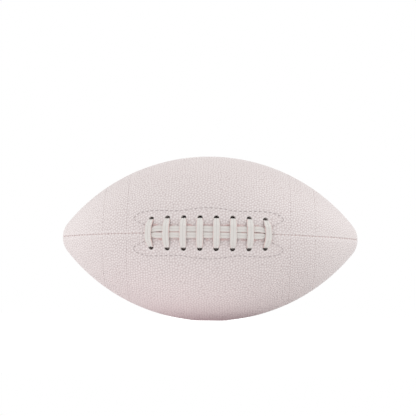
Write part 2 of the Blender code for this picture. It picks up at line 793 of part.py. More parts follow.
def build_ball():
    """Make every piece of the ball."""
    leather = material("panel leather", LEATHER_WHITE, 0.55)
    lining_cloth = material("lining fabric", FABRIC_GREY, 0.9)
    facing_cloth = material("facing fabric", FABRIC_GREY, 0.85)
    guard_hide = material("guard leather", LEATHER_WHITE, 0.7)
    bladder_rubber = material("bladder rubber", RUBBER_BLACK, 0.6)
    valve_rubber = material("valve rubber", RUBBER_BLACK, 0.5)
    lace_tape = material("lace", LACE_WHITE, 0.5)
    thread = material("thread", THREAD_WHITE, 0.7)

    panels = {}
    linings = {}
    for quarter, place_name in enumerate(("upper_front", "upper_back", "lower_back", "lower_front")):
        panels[place_name] = make_panel("panel_" + place_name, quarter, leather)
        linings[place_name] = make_lining("lining_" + place_name, quarter, lining_cloth)

    rest_cutter = make_rest_cutter()
    boolean(panels["lower_front"], "DIFFERENCE", rest_cutter)
    boolean(panels["lower_back"], "DIFFERENCE", rest_cutter)

    end_punch = make_end_punch()
    for place_name, side, quarter in (("upper", 1, 0), ("lower", -1, 3)):
        above = side == 1
        front = place_name + "_front"
        punch = make_lace_punch("lace_punch_" + place_name, side)
        facing = make_facing("facing_" + place_name, quarter, above, facing_cloth)
        for layer in (panels[front], facing):
            boolean(layer, "DIFFERENCE", punch)
            boolean(layer, "DIFFERENCE", end_punch)
        notch = make_outline_prism("notch_" + place_name, above, FACING_MARGIN + LAYER_GAP)
        boolean(linings[front], "DIFFERENCE", notch)
        make_facing_thread("facing_thread_" + place_name, side, thread)

    make_guard(guard_hide)
    bladder = make_bladder(bladder_rubber)
    valve_punch = make_valve_punch()
    for layer in (panels["upper_back"], linings["upper_back"], bladder):
        boolean(layer, "DIFFERENCE", valve_punch)
    make_valve(valve_rubber)
    make_lace(lace_tape)

    slit_end = lean_at(MOUTH + END_HOLE / 2 + LAYER_GAP)
    for name, quarter, first, last in (
        ("seam_thread_front_left", 0, -SEAM_THREAD_END, -slit_end),
        ("seam_thread_front_right", 0, slit_end, SEAM_THREAD_END),
        ("seam_thread_top", 1, -SEAM_THREAD_END, SEAM_THREAD_END),
        ("seam_thread_back", 2, -SEAM_THREAD_END, SEAM_THREAD_END),
        ("seam_thread_bottom", 3, -SEAM_THREAD_END, SEAM_THREAD_END),
    ):
        make_seam_thread(name, quarter, first, last, thread)


for old in list(bpy.data.objects):
    bpy.data.objects.remove(old, do_unlink=True)
build_ball()
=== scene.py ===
# %% [markdown]
# # A laced, pebbled football
#
# The solids of the ball are already made. This lesson loads them, keeps their sizes,
# and builds the skin that the eye sees: grained leather, turned seams, stitches and laces.
# Everything is in metres, with the long axis on X, up on Z and the lacing facing -Y.

import math
import random

import bmesh
import bpy
import numpy as np
from mathutils import Matrix, Vector, kdtree


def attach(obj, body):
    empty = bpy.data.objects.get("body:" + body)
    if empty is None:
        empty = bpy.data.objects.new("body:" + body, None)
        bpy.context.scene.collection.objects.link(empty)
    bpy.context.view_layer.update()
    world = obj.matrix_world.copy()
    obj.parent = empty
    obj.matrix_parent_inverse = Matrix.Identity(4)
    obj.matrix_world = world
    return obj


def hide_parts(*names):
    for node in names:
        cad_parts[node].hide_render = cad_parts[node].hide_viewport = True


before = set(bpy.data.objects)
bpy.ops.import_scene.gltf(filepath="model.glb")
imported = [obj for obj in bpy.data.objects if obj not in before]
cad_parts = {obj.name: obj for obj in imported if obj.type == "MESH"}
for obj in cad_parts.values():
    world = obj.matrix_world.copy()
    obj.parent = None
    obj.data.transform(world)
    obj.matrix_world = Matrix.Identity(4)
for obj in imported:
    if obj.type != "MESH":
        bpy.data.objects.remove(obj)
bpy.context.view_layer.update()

# %% [markdown]
# ## The ball's outline
#
# Seen from the side, a football is one long arc that runs into a small round tip. Two circles that
# touch give this outline exactly, so every point on the ball can be named by its lean (how far
# the skin leans towards a tip), its turn about the long axis and its depth under the surface.

# %% Sizes of the ball, and the place of any point on it
MM = 0.001


def mm(*values):
    """Lengths that are given in millimetres."""
    return tuple(value * MM for value in values)


LENGTH = 279.4 * MM
BELLY = 77.8 * MM
TIP_RADIUS = 21.5 * MM
FLOOR = -(BELLY - 0.5 * MM)
QUARTER = math.pi / 2

TIP_CENTRE = LENGTH / 2 - TIP_RADIUS
ARC_RADIUS = (TIP_CENTRE**2 + BELLY**2 - TIP_RADIUS**2) / (2 * (BELLY - TIP_RADIUS))
TANGENT_LEAN = math.atan2(TIP_CENTRE, ARC_RADIUS - BELLY)
POLE_RADIUS = 0.03 * MM
LAST_LEAN = math.acos(POLE_RADIUS / TIP_RADIUS)


def skin(lean, depth=0.0):
    """Axial place and radius, for one lean and depth or for arrays of them."""
    on_arc = np.abs(lean) <= TANGENT_LEAN
    radius = np.where(on_arc, ARC_RADIUS, TIP_RADIUS) - depth
    along = radius * np.sin(lean) + np.where(on_arc, 0.0, np.sign(lean) * TIP_CENTRE)
    return along, radius * np.cos(lean) - np.where(on_arc, ARC_RADIUS - BELLY, 0.0)


def place(along, radius, turn):
    """A point at an axial place and a radius, turned about X from the lacing."""
    return Vector((float(along), -float(radius) * math.cos(turn), float(radius) * math.sin(turn)))


def outward(lean, turn):
    """The skin's normal."""
    return Vector((math.sin(lean), 0, 0)) + place(0, math.cos(lean), turn)


def lean_at(along):
    """The lean of the skin at an axial place on the long arc."""
    return math.asin(along / ARC_RADIUS)


def turn_of(along, across):
    """The turn about X at a distance above the front seam, measured on the skin."""
    return across / float(skin(lean_at(along))[1])


def on_skin(along, across, depth=0.0):
    """A point on the front of the ball, by its axial place and its distance above the seam."""
    x, radius = skin(lean_at(along), depth)
    return place(x, radius, turn_of(along, across))


def spot_on_skin(along, across):
    """Such a point and the skin's normal there."""
    return on_skin(along, across), outward(lean_at(along), turn_of(along, across))


ARC_LENGTH = 2 * ARC_RADIUS * TANGENT_LEAN
OUTLINE_LENGTH = ARC_LENGTH + 2 * TIP_RADIUS * (LAST_LEAN - TANGENT_LEAN)


def lean_after(distance):
    """The lean at a distance along the outline, counted from the middle of the ball."""
    beyond = abs(distance) - ARC_LENGTH / 2
    if beyond <= 0:
        return distance / ARC_RADIUS
    return math.copysign(TANGENT_LEAN + beyond / TIP_RADIUS, distance)


print("outline: %.1f mm over the skin, arc radius %.1f mm" % (OUTLINE_LENGTH / MM, ARC_RADIUS / MM))

# %% [markdown]
# ## The camera
#
# The photograph was taken from about a metre away with a long lens, just above the table and
# looking slightly up at the laces. A frame of 394.7 mm at the ball fills the picture, and the
# lens follows from that width and the distance. A small roll puts the right tip a little lower.

# %% Put a new object in the scene
def add_object(name, data):
    """A new object at the origin, shown in the scene."""
    made = bpy.data.objects.new(name, data)
    bpy.context.scene.collection.objects.link(made)
    return made


# %% Camera
DISTANCE = 1.12
LOOK_UP = math.radians(3.7)
FROM_RIGHT = math.radians(1.2)
ROLL = math.radians(0.7)
FRAME_WIDTH = 0.3947
PICTURE_WIDTH = 416
PIXEL = FRAME_WIDTH / PICTURE_WIDTH
AIM_RIGHT = -2.2 * PIXEL
AIM_UP = 30.7 * PIXEL
SENSOR = 36.0

camera_data = bpy.data.cameras.new("camera")
camera_data.sensor_width = SENSOR
camera_data.lens = SENSOR * DISTANCE / FRAME_WIDTH
camera = add_object("camera", camera_data)
bpy.context.scene.camera = camera

looking_up = Vector((0, math.cos(LOOK_UP), math.sin(LOOK_UP)))
camera.location = -DISTANCE * (Matrix.Rotation(FROM_RIGHT, 3, "Z") @ looking_up)
target = Vector((AIM_RIGHT, 0, AIM_UP))
aim = (target - camera.location).to_track_quat("-Z", "Y").to_matrix()
camera.rotation_euler = (aim @ Matrix.Rotation(ROLL, 3, "Z")).to_euler()
camera_height = (camera.location.z - FLOOR) / MM
print("lens %.1f mm, camera %.1f mm above the floor" % (camera_data.lens, camera_height))

# %% [markdown]
# ## Floor, air and lamps
#
# The studio is plain: a pale floor, a white background and large soft lamps. The background is
# white only for rays that come from the camera or bounce off gloss, so that it adds no light of
# its own, and the floor still shows the ball's soft shadow. The lamps' places and sizes are in
# metres and their powers in watts.
#
# The photograph's table throws a faint pink light up at the ball, most of it from close by and
# from the left. The floor does the same with a weak glow. The camera doesn't see this glow, and
# finds the floor as plain and pale as the background.

# %% Helpers for materials
def new_material(name, roughness, specular=0.5):
    """A Principled material, its node tree and its shader."""
    print("finish:", name)
    made = bpy.data.materials.new(name)
    made.use_nodes = True
    shader = made.node_tree.nodes["Principled BSDF"]
    shader.inputs["Roughness"].default_value = roughness
    shader.inputs["Specular IOR Level"].default_value = specular
    return made, made.node_tree, shader


def add_node(tree, kind, **values):
    """A shader node of a kind, with some of its inputs or settings given by name."""
    node = tree.nodes.new("ShaderNode" + kind)
    for key, value in values.items():
        label = key.replace("_", " ")
        if label in node.inputs:
            node.inputs[label].default_value = value
        else:
            setattr(node, key, value)
    return node


def blend(tree, share, first, second):
    """A mix of two colours, each a socket or a plain colour, by a share from 0 to 1."""
    mix = add_node(tree, "Mix")
    mix.data_type = "RGBA"
    sockets = (mix.inputs[0], mix.inputs[6], mix.inputs[7])
    for socket, value in zip(sockets, (share, first, second)):
        if isinstance(value, bpy.types.NodeSocket):
            tree.links.new(value, socket)
        elif isinstance(value, tuple):
            socket.default_value = (*value, 1)
        else:
            socket.default_value = value
    return mix.outputs[2]


def pick_shader(tree, share, first, second):
    """The first shader where the share is 0, and the second where it is 1."""
    mix = add_node(tree, "MixShader")
    for socket, value in zip(mix.inputs, (share, first, second)):
        tree.links.new(value, socket)
    return mix.outputs[0]


def texture(tree, kind, **values):
    """A procedural texture, fixed to its piece by the piece's own coordinates."""
    node = add_node(tree, "Tex" + kind, **values)
    where = add_node(tree, "TexCoord")
    tree.links.new(where.outputs["Object"], node.inputs["Vector"])
    return node.outputs["Fac"]


def attribute(tree, name):
    """The value that each point of a piece carries under a name."""
    return add_node(tree, "Attribute", attribute_name=name).outputs["Fac"]


def combine(tree, operation, first, second):
    """The result of an operation on two sockets."""
    node = add_node(tree, "Math", operation=operation)
    tree.links.new(first, node.inputs[0])
    tree.links.new(second, node.inputs[1])
    return node.outputs[0]


def map_range(tree, socket, **values):
    """A socket's value, taken from one range to another and kept inside it."""
    node = add_node(tree, "MapRange", **values)
    tree.links.new(socket, node.inputs["Value"])
    return node.outputs[0]


def cover(tree, shader, colour, height=None, strength=0.0, distance=0.0):
    """Give a shader its colour and, where there is a height, a fine relief."""
    tree.links.new(colour, shader.inputs["Base Color"])
    if height is not None:
        relief = add_node(tree, "Bump", Strength=strength, Distance=distance)
        tree.links.new(height, relief.inputs["Height"])
        tree.links.new(relief.outputs[0], shader.inputs["Normal"])


def from_screen(red, green, blue):
    """The linear colour of a screen colour given as 0 to 255."""
    parts = [c / 255 for c in (red, green, blue)]
    return tuple(c / 12.92 if c <= 0.04045 else ((c + 0.055) / 1.055) ** 2.4 for c in parts)


# %% Turn a bmesh into a mesh
def finish_mesh(shape, name):
    """A mesh from a bmesh, which isn't needed after that."""
    mesh = bpy.data.meshes.new(name)
    shape.to_mesh(mesh)
    shape.free()
    return mesh


# %% Floor
FLOOR_REACH = 4.0
shape = bmesh.new()
bmesh.ops.create_grid(shape, x_segments=1, y_segments=1, size=FLOOR_REACH)
bmesh.ops.translate(shape, verts=shape.verts, vec=(0, 0, FLOOR))
floor = add_object("floor", finish_mesh(shape, "floor"))
print("the floor is %.1f mm under the ball's axis" % (-FLOOR / MM))

# %% Floor paint and its glow
WHITE = (1, 1, 1, 1)
FLOOR_COLOUR = (0.9, 0.9, 0.9, 1)
GLOW_COLOUR = (1, 0.85, 0.91, 1)
GLOW_MIDDLE = (-0.035, -0.03, 0)
GLOW_REACH = 0.15
GLOW_UNDER_BALL = 0.44
GLOW_LEFT = 0.15
LEFT_END = -0.2
RIGHT_END = 0.25
SEEN_FLOOR = 0.5

floor_paint = bpy.data.materials.new("floor paint")
floor_paint.use_nodes = True
tree = floor_paint.node_tree
tree.nodes.clear()
matte = add_node(tree, "BsdfDiffuse", Color=FLOOR_COLOUR)
floor_place = add_node(tree, "TexCoord").outputs["Object"]
sideways = add_node(tree, "SeparateXYZ")
tree.links.new(floor_place, sideways.inputs[0])
fading = map_range(tree, sideways.outputs["X"], From_Min=LEFT_END, From_Max=RIGHT_END,
                   To_Min=GLOW_LEFT, To_Max=0.0)
away_from_ball = add_node(tree, "VectorMath", operation="DISTANCE")
away_from_ball.inputs[1].default_value = GLOW_MIDDLE
tree.links.new(floor_place, away_from_ball.inputs[0])
under_ball = map_range(tree, away_from_ball.outputs["Value"], From_Max=GLOW_REACH,
                       To_Min=GLOW_UNDER_BALL, To_Max=0.0)
from_below = add_node(tree, "Emission", Color=GLOW_COLOUR)
tree.links.new(combine(tree, "ADD", fading, under_ball), from_below.inputs["Strength"])
to_camera = add_node(tree, "Emission", Color=WHITE, Strength=SEEN_FLOOR)
seen = add_node(tree, "LightPath").outputs
glow = pick_shader(tree, seen["Is Camera Ray"], from_below.outputs[0], to_camera.outputs[0])
paint = add_node(tree, "AddShader")
paint_out = add_node(tree, "OutputMaterial")
tree.links.new(matte.outputs[0], paint.inputs[0])
tree.links.new(glow, paint.inputs[1])
tree.links.new(paint.outputs[0], paint_out.inputs["Surface"])
floor.data.materials.append(floor_paint)

# %% World
AIR_LIGHT = 0.73
SEEN_AIR = 1.0

world = bpy.data.worlds.new("studio air")
bpy.context.scene.world = world
world.use_nodes = True
tree = world.node_tree
tree.nodes.clear()
dim = add_node(tree, "Background", Color=WHITE, Strength=AIR_LIGHT)
white = add_node(tree, "Background", Color=WHITE, Strength=SEEN_AIR)
seen = add_node(tree, "LightPath").outputs
camera_or_gloss = combine(tree, "MAXIMUM", seen["Is Camera Ray"], seen["Is Glossy Ray"])
any_seen = combine(tree, "MAXIMUM", camera_or_gloss, seen["Is Transmission Ray"])
air = pick_shader(tree, any_seen, dim.outputs[0], white.outputs[0])
air_out = add_node(tree, "OutputWorld")
tree.links.new(air, air_out.inputs["Surface"])

# %% Lamps
LAMPS = [
    ("front lamp", (-0.9, -1.5, 1.5), 1.2, 4.8),
    ("right lamp", (1.7, -0.3, 1.5), 1.6, 19.0),
    ("left lamp", (-1.75, 0.1, 1.0), 1.6, 10.6),
    ("low lamp", (-0.9, -1.3, 0.12), 0.35, 0.35),
]

for name, location, size, power in LAMPS:
    square = bpy.data.lights.new(name, "AREA")
    square.shape = "SQUARE"
    square.size = size
    square.energy = power
    lamp = add_object(name, square)
    lamp.location = location
    lamp.rotation_euler = (-lamp.location).to_track_quat("-Z", "Y").to_euler()
    lamp.visible_camera = False
    print(name, power, "W")
bpy.context.scene.view_settings.view_transform = "Standard"

# %% [markdown]
# ## Where the stitches and holes are
#
# Eight crosses of the lace pass through sixteen punched holes. A wavy row of stitches holds a
# reinforcement behind each row of holes: it runs past the holes, round its end and back to the
# end of the opening. The skin is pressed in along that row, so its places come before the skin.

# %% Places of holes, mouths and stitched rows
CROSSES = 8
PITCH = 14.6 * MM
HOLE = 4.8 * MM
HOLE_REACH = 13.8 * MM
HOLE_DRAW_IN = 1.0 * MM
DRAW_IN_POWER = 4
LAST_CROSS = (CROSSES - 1) / 2 * PITCH
MOUTH = LAST_CROSS + 1.9 * MM
MOUTH_HOLE = 5.8 * MM
STITCH_HALF_LENGTH = 67.8 * MM
STITCH_REACH = 23.2 * MM
CURVE_STEPS = 12
ROUNDING = 1e-9
STITCH_SHAPE = [
    (0.0, 1.0), (0.12, 0.98), (0.24, 0.93), (0.33, 0.885), (0.42, 0.867), (0.54, 0.878),
    (0.67, 0.896), (0.77, 0.88), (0.865, 0.84), (0.92, 0.785), (0.97, 0.7), (1.0, 0.61),
    (0.99, 0.54), (0.95, 0.465), (0.89, 0.39), (0.83, 0.3),
]


def hole_reach(along):
    """Distance of a lace hole's centre from the seam."""
    return HOLE_REACH - HOLE_DRAW_IN * (along / LAST_CROSS) ** DRAW_IN_POWER


def cross_places():
    """Axial places of the crosses, from left to right."""
    return [(i - (CROSSES - 1) / 2) * PITCH for i in range(CROSSES)]


def smooth_line(points, step):
    """Points at an equal step on a smooth curve through others."""
    fine = []
    padded = [2 * points[0] - points[1]] + points + [2 * points[-1] - points[-2]]
    for a, b, c, d in zip(padded, padded[1:], padded[2:], padded[3:]):
        for i in range(CURVE_STEPS):
            t = i / CURVE_STEPS
            bend = (2 * a - 5 * b + 4 * c - d) * t * t + (3 * b - a - 3 * c + d) * t**3
            fine.append(b + 0.5 * ((c - a) * t + bend))
    fine.append(points[-1])
    total = sum((q - p).length for p, q in zip(fine, fine[1:]))
    wanted = total / max(1, round(total / step))
    line, gone = [fine[0]], 0.0
    for p, q in zip(fine, fine[1:]):
        length = (q - p).length
        while gone + length >= wanted * len(line) - ROUNDING:
            line.append(p + (q - p) * ((wanted * len(line) - gone) / length))
        gone += length
    return line


def wavy_row(side, step):
    """Places (along, across) on the stitched row above (1) or below (-1) the lacing."""
    half = [Vector((STITCH_HALF_LENGTH * a, side * STITCH_REACH * b)) for a, b in STITCH_SHAPE]
    whole = [Vector((-p.x, p.y)) for p in reversed(half[1:])] + half
    return smooth_line(whole, step)


WAVY_STITCH = 4.4 * MM
RUN_WIDTH = 5.4 * MM
RUN_GAP = 0.1 * MM
RUN_MIDDLE = 0.7 * MM
# Where the reddish painted shade beside each run lies, from the middle of the lacing.
RUN_SHADE_REACH = RUN_WIDTH + 1.0 * MM
print("stitches in each wavy row:", len(wavy_row(1, WAVY_STITCH)) - 1)

# %% [markdown]
# ## The leather panels
#
# Each panel is a quarter of the ball. Spinning half of the outline gives it at once as an even
# grid, and the seams, dents and pebbles are then pressed into that grid by moving its points.
# This keeps the real sizes, and the grain is a true relief that catches light from any side.
# The edges roll inwards over both seams, because panels are sewn inside out and then turned.

# %% Sizes of the leather's relief
SEAM_GAP = 0.06 * MM
FOLD_WIDTH = 1.7 * MM
FOLD_DEPTH = 0.65 * MM
FOLD_SHARE = 0.2
SEAM_STITCH = 3.7 * MM
STRIPE_STITCH = 3.6 * MM
STRIPES = mm(-96.9, -73.8, 73.8, 96.9)
PEBBLE = 2.7 * MM
PEBBLE_HEIGHT = 0.34 * MM
GRID_ROWS = 492
SPIN_STEPS = 14
CUTS = 13
GRID_COLUMNS = SPIN_STEPS * (CUTS + 1)
ROW_SHARE = 0.87
SCATTER = 0.42
NEIGHBOURS = 6
PUSH_SHARE = 0.25
PUSHES = 4
LOWEST_PEBBLE = 0.9
DOME_WIDTH = 0.8
FOLD_COLUMNS = 6
VALVE_TURN = 2 * QUARTER - 30.5 * MM / BELLY
VALVE_HOLE = 4.1 * MM
WALL_DEPTH = 3.0 * MM
WALL_STEPS = 3


# %% A quarter of the ball by spinning the outline
def spun_quarter():
    """An even grid over one quarter of the ball, whose points know their column."""
    shape = bmesh.new()
    column = shape.verts.layers.float.new("column")
    row = []
    for i in range(GRID_ROWS + 1):
        lean = lean_after(OUTLINE_LENGTH * (i / GRID_ROWS - 0.5))
        row.append(shape.verts.new(place(*skin(lean), 0)))
    edges = [shape.edges.new(pair) for pair in zip(row, row[1:])]
    bmesh.ops.spin(shape, geom=row + edges, cent=(0, 0, 0), axis=(-1, 0, 0), angle=QUARTER,
                   steps=SPIN_STEPS, use_merge=False)
    for vert in shape.verts:
        turn = math.atan2(vert.co.z, -vert.co.y)
        vert[column] = round(turn / QUARTER * SPIN_STEPS) * (CUTS + 1)
    around = [edge for edge in shape.edges if edge.verts[0][column] != edge.verts[1][column]]
    bmesh.ops.subdivide_edges(shape, edges=around, cuts=CUTS, use_grid_fill=True)
    return shape


# %% Fold the grid's borders into the seams
LARGEST_SINE = 0.999
NARROWEST = 0.3 * MM
NARROWEST_FOLD = 0.2 * MM
WIDEST_FOLD = 0.7


def fold_seams(x, column):
    """Each point's lean, turn and depth, with the borders rolled into the seams."""
    tangent = ARC_RADIUS * math.sin(TANGENT_LEAN)
    in_tip = np.clip((np.abs(x) - TIP_CENTRE) / TIP_RADIUS, 0, 1)
    in_arc = np.clip(x / ARC_RADIUS, -LARGEST_SINE, LARGEST_SINE)
    lean = np.where(np.abs(x) <= tangent, np.arcsin(in_arc), np.sign(x) * np.arcsin(in_tip))
    rim = np.maximum(skin(lean)[1], NARROWEST)
    fold = np.minimum(FOLD_WIDTH, FOLD_SHARE * rim)
    nearer = np.minimum(column, GRID_COLUMNS - column)
    bend = QUARTER * np.clip((nearer - 1) / (FOLD_COLUMNS - 1), 0, 1)
    width = SEAM_GAP / 2 + fold * (1 - np.cos(bend))
    depth = FOLD_DEPTH / FOLD_WIDTH * fold * (1 - np.sin(bend)) + np.where(nearer == 0, fold, 0.0)
    inner_rim = np.maximum(rim - depth, NARROWEST_FOLD)
    first = np.arcsin(np.clip(width / inner_rim, 0, WIDEST_FOLD))
    flat_first = np.arcsin(np.clip((SEAM_GAP / 2 + fold) / rim, 0, WIDEST_FOLD))
    share = (column - FOLD_COLUMNS) / (GRID_COLUMNS - 2 * FOLD_COLUMNS)
    on_face = flat_first + (QUARTER - 2 * flat_first) * share
    in_fold = np.where(column < GRID_COLUMNS / 2, first, QUARTER - first)
    turn = np.where(nearer >= FOLD_COLUMNS, on_face, in_fold)
    return lean, turn, depth, nearer


# %% [markdown]
# ### The pebbles
#
# Football leather is embossed with small round pebbles, packed evenly but in no strict rows.
# Seeds are scattered over the panel and then pushed apart a few times, as beads in a tray spread
# out when it is shaken. Each point of the skin is raised by how much nearer it lies to one seed
# than to the next: a dome over each seed with a valley between.

# %% Scatter the seeds
LEAST_DISTANCE = 0.1 * MM


def search_tree(spots):
    """A tree that finds the nearest of some spots quickly."""
    tree = kdtree.KDTree(len(spots))
    for number, spot in enumerate(spots):
        tree.insert(spot, number)
    tree.balance()
    return tree


def push_apart(spots):
    """Move every seed a little away from neighbours that are nearer than one pebble."""
    tree = search_tree(spots)
    moved = []
    for spot in spots:
        push = Vector()
        for other, _, distance in tree.find_n(spot, NEIGHBOURS + 1)[1:]:
            push += (spot - other) * max(0.0, PEBBLE / max(distance, LEAST_DISTANCE) - 1)
        moved.append(spot + push * PUSH_SHARE)
    return moved


def scatter_pebbles(quarter, chance):
    """A search tree of pebble seeds over one panel, with each pebble's own height."""
    rows = round(OUTLINE_LENGTH / (PEBBLE * ROW_SHARE))
    spots = []
    for i in range(rows + 1):
        distance = OUTLINE_LENGTH * (i / rows - 0.5)
        radius = float(skin(lean_after(distance))[1])
        count = max(1, round(radius * QUARTER / PEBBLE))
        for j in range(-1, count + 2):
            share = (j + 0.5 * (i % 2) + chance.uniform(-SCATTER, SCATTER)) / count
            lean = lean_after(distance + PEBBLE * chance.uniform(-SCATTER, SCATTER))
            spots.append(place(*skin(lean), quarter * QUARTER + QUARTER * share))
    for _ in range(PUSHES):
        spots = push_apart(spots)
    return search_tree(spots), [chance.uniform(LOWEST_PEBBLE, 1.0) for _ in spots]


# %% Measure the domes
def pebble_relief(points, seeds):
    """For each point, how high it stands on its pebble, from 0 in a valley to about 1."""
    tree, heights = seeds
    relief = np.empty(len(points))
    for number, spot in enumerate(points):
        (_, first, near), (_, _, next_near) = tree.find_n(spot, 2)
        inside = min(1.0, (next_near - near) / (next_near + near) / DOME_WIDTH)
        relief[number] = heights[first] * inside * (2 - inside)
    return relief


# %% [markdown]
# ### Dents, punched holes and painted shade in thread holes
#
# The leather sinks a little where thread or lace pulls on it: at every stitch of the seams, along
# the wavy row, and round each lace hole. Distances to those places give both the dents and a
# painted shade for the colour, which darkens the thread holes. Towards the tips the grain is
# smoother and the dents of the seams fade, and at the very tip the four panels dip in to meet.

# %% Distances to stitches
def nearest(points, spots):
    """Each point's distance to the nearest of some spots."""
    tree = search_tree(spots)
    return np.array([tree.find(spot)[2] for spot in points])


def stripe_spots(along, quarter):
    """Spots on a stitched ring of one front panel, from seam to seam, with the skin's normals."""
    lean = lean_at(along)
    radius = float(skin(lean)[1])
    count = round(radius * QUARTER / STRIPE_STITCH)
    turns = [quarter * QUARTER + QUARTER * (i + 0.5) / count for i in range(count)]
    return [(place(along, radius, turn), outward(lean, turn)) for turn in turns]


def bump(distance, width):
    """1 at a spot, fading to nothing over about twice a width."""
    return np.exp(-((distance / width) ** 2))


# %% Punch holes through a grid
def punch(shape, centres, holes, depth):
    """Cut round holes in a skin, and give each a wall that goes in."""
    shape.faces.ensure_lookup_table()
    gone, rims = set(), {}
    for centre, axis, radius in holes:
        offset = centres - np.array(centre)
        beside = offset - np.outer(offset @ np.array(axis), axis)
        inside = np.linalg.norm(beside, axis=1) < radius
        inside &= np.linalg.norm(offset, axis=1) < 3 * radius
        for i in np.flatnonzero(inside):
            gone.add(shape.faces[i])
            rims.update({vert: (centre, axis, radius) for vert in shape.faces[i].verts})
    bmesh.ops.delete(shape, geom=list(gone), context="FACES")
    rims = {vert: hole for vert, hole in rims.items() if vert.is_valid}
    for vert, (centre, axis, radius) in rims.items():
        beside = vert.co - centre - (vert.co - centre).dot(axis) * axis
        vert.co += beside.normalized() * (radius - beside.length)
    edges = [edge for edge in shape.edges
             if edge.is_boundary and edge.verts[0] in rims and edge.verts[1] in rims]
    for _ in range(WALL_STEPS):
        made = bmesh.ops.extrude_edge_only(shape, edges=edges)["geom"]
        fresh = {item for item in made if isinstance(item, bmesh.types.BMVert)}
        for vert in fresh:
            _, axis, _ = min(holes, key=lambda hole: (hole[0] - vert.co).length)
            vert.co -= axis * depth / WALL_STEPS
        edges = [item for item in made
                 if isinstance(item, bmesh.types.BMEdge) and set(item.verts) <= fresh]


# %% How deep and how wide the leather gives way
SEAM_DENT = 0.22 * MM
SEAM_DENT_WIDTH = 1.2 * MM
SEAM_DENT_RIM = 12 * MM
SEAM_SMOOTHING = 0.25
# How the painted shade in the seam's crease grows with its depth.
SEAM_SHADE_POWER = 1.6
TIP_SMOOTHING = 0.35
SMOOTHED_FROM = 0.3
SMOOTHED_OVER = 0.16
# Width of the painted shade beside each run.
RUN_SHADE_WIDTH = 0.8 * MM
ROW_DENT = 0.06 * MM
ROW_DENT_WIDTH = 0.9 * MM
ROW_SMOOTHING = 0.45
ROW_SMOOTHING_WIDTH = 0.8 * MM
ROW_STEPS = 12
THREAD_HOLE_DENT = 0.12 * MM
THREAD_HOLE_DENT_WIDTH = 0.7 * MM
# Painted shade in the thread holes: how dark, and how wide.
THREAD_HOLE_SHADE_SHARE = 0.12
STRIPE_DENT = 0.08 * MM
STRIPE_HOLE_SHADE_SHARE = 0.15
HOLE_SHADE_WIDTH = 0.5 * MM
RIM_DENT = 0.4 * MM
RIM_DENT_WIDTH = 0.8 * MM
RIM_SMOOTHING = 0.8
RIM_SMOOTHING_WIDTH = 1.2 * MM
TIP_DIMPLE = 1.2 * MM
DIMPLE_FROM = math.radians(84)
DIMPLE_OVER = math.radians(5)

# %% Where thread and lace press on a front panel
FRONT_SIDES = {0: 1, 3: -1}


def press_front(flat, across, quarter):
    """How much the leather is dented and keeps its grain, and how much painted shade it gets in the
    thread holes and beside the runs.
    """
    side = FRONT_SIDES[quarter]
    row = wavy_row(side, WAVY_STITCH / ROW_STEPS)
    from_row = nearest(flat, [on_skin(p.x, p.y) for p in row])
    from_hole = nearest(flat, [on_skin(p.x, p.y) for p in wavy_row(side, WAVY_STITCH)])
    stripes = [spot for along in STRIPES for spot, _ in stripe_spots(along, quarter)]
    from_stripe = nearest(flat, stripes)
    lace_holes = [on_skin(x, side * hole_reach(x)) for x in cross_places()]
    from_rim = np.abs(nearest(flat, lace_holes) - HOLE / 2)

    dent = ROW_DENT * bump(from_row, ROW_DENT_WIDTH)
    dent += THREAD_HOLE_DENT * bump(from_hole, THREAD_HOLE_DENT_WIDTH)
    dent += STRIPE_DENT * bump(from_stripe, THREAD_HOLE_DENT_WIDTH)
    dent += RIM_DENT * bump(from_rim, RIM_DENT_WIDTH)
    kept = 1 - ROW_SMOOTHING * bump(from_row, ROW_SMOOTHING_WIDTH)
    kept *= 1 - RIM_SMOOTHING * bump(from_rim, RIM_SMOOTHING_WIDTH)
    # Painted shade in the thread holes of the wavy row and the stripes.
    hole_shade = THREAD_HOLE_SHADE_SHARE * bump(from_hole, HOLE_SHADE_WIDTH)
    hole_shade = np.maximum(hole_shade, STRIPE_HOLE_SHADE_SHARE * bump(from_stripe, HOLE_SHADE_WIDTH))
    # A reddish painted shade in a band along the outer edge of each run, ending past the last
    # cross.
    run_edge_shade = bump(across - RUN_MIDDLE - side * RUN_SHADE_REACH, RUN_SHADE_WIDTH)
    run_edge_shade *= np.clip((LAST_CROSS + PITCH / 2 - np.abs(flat[:, 0])) / (PITCH / 4), 0, 1)
    return dent, kept, hole_shade, run_edge_shade


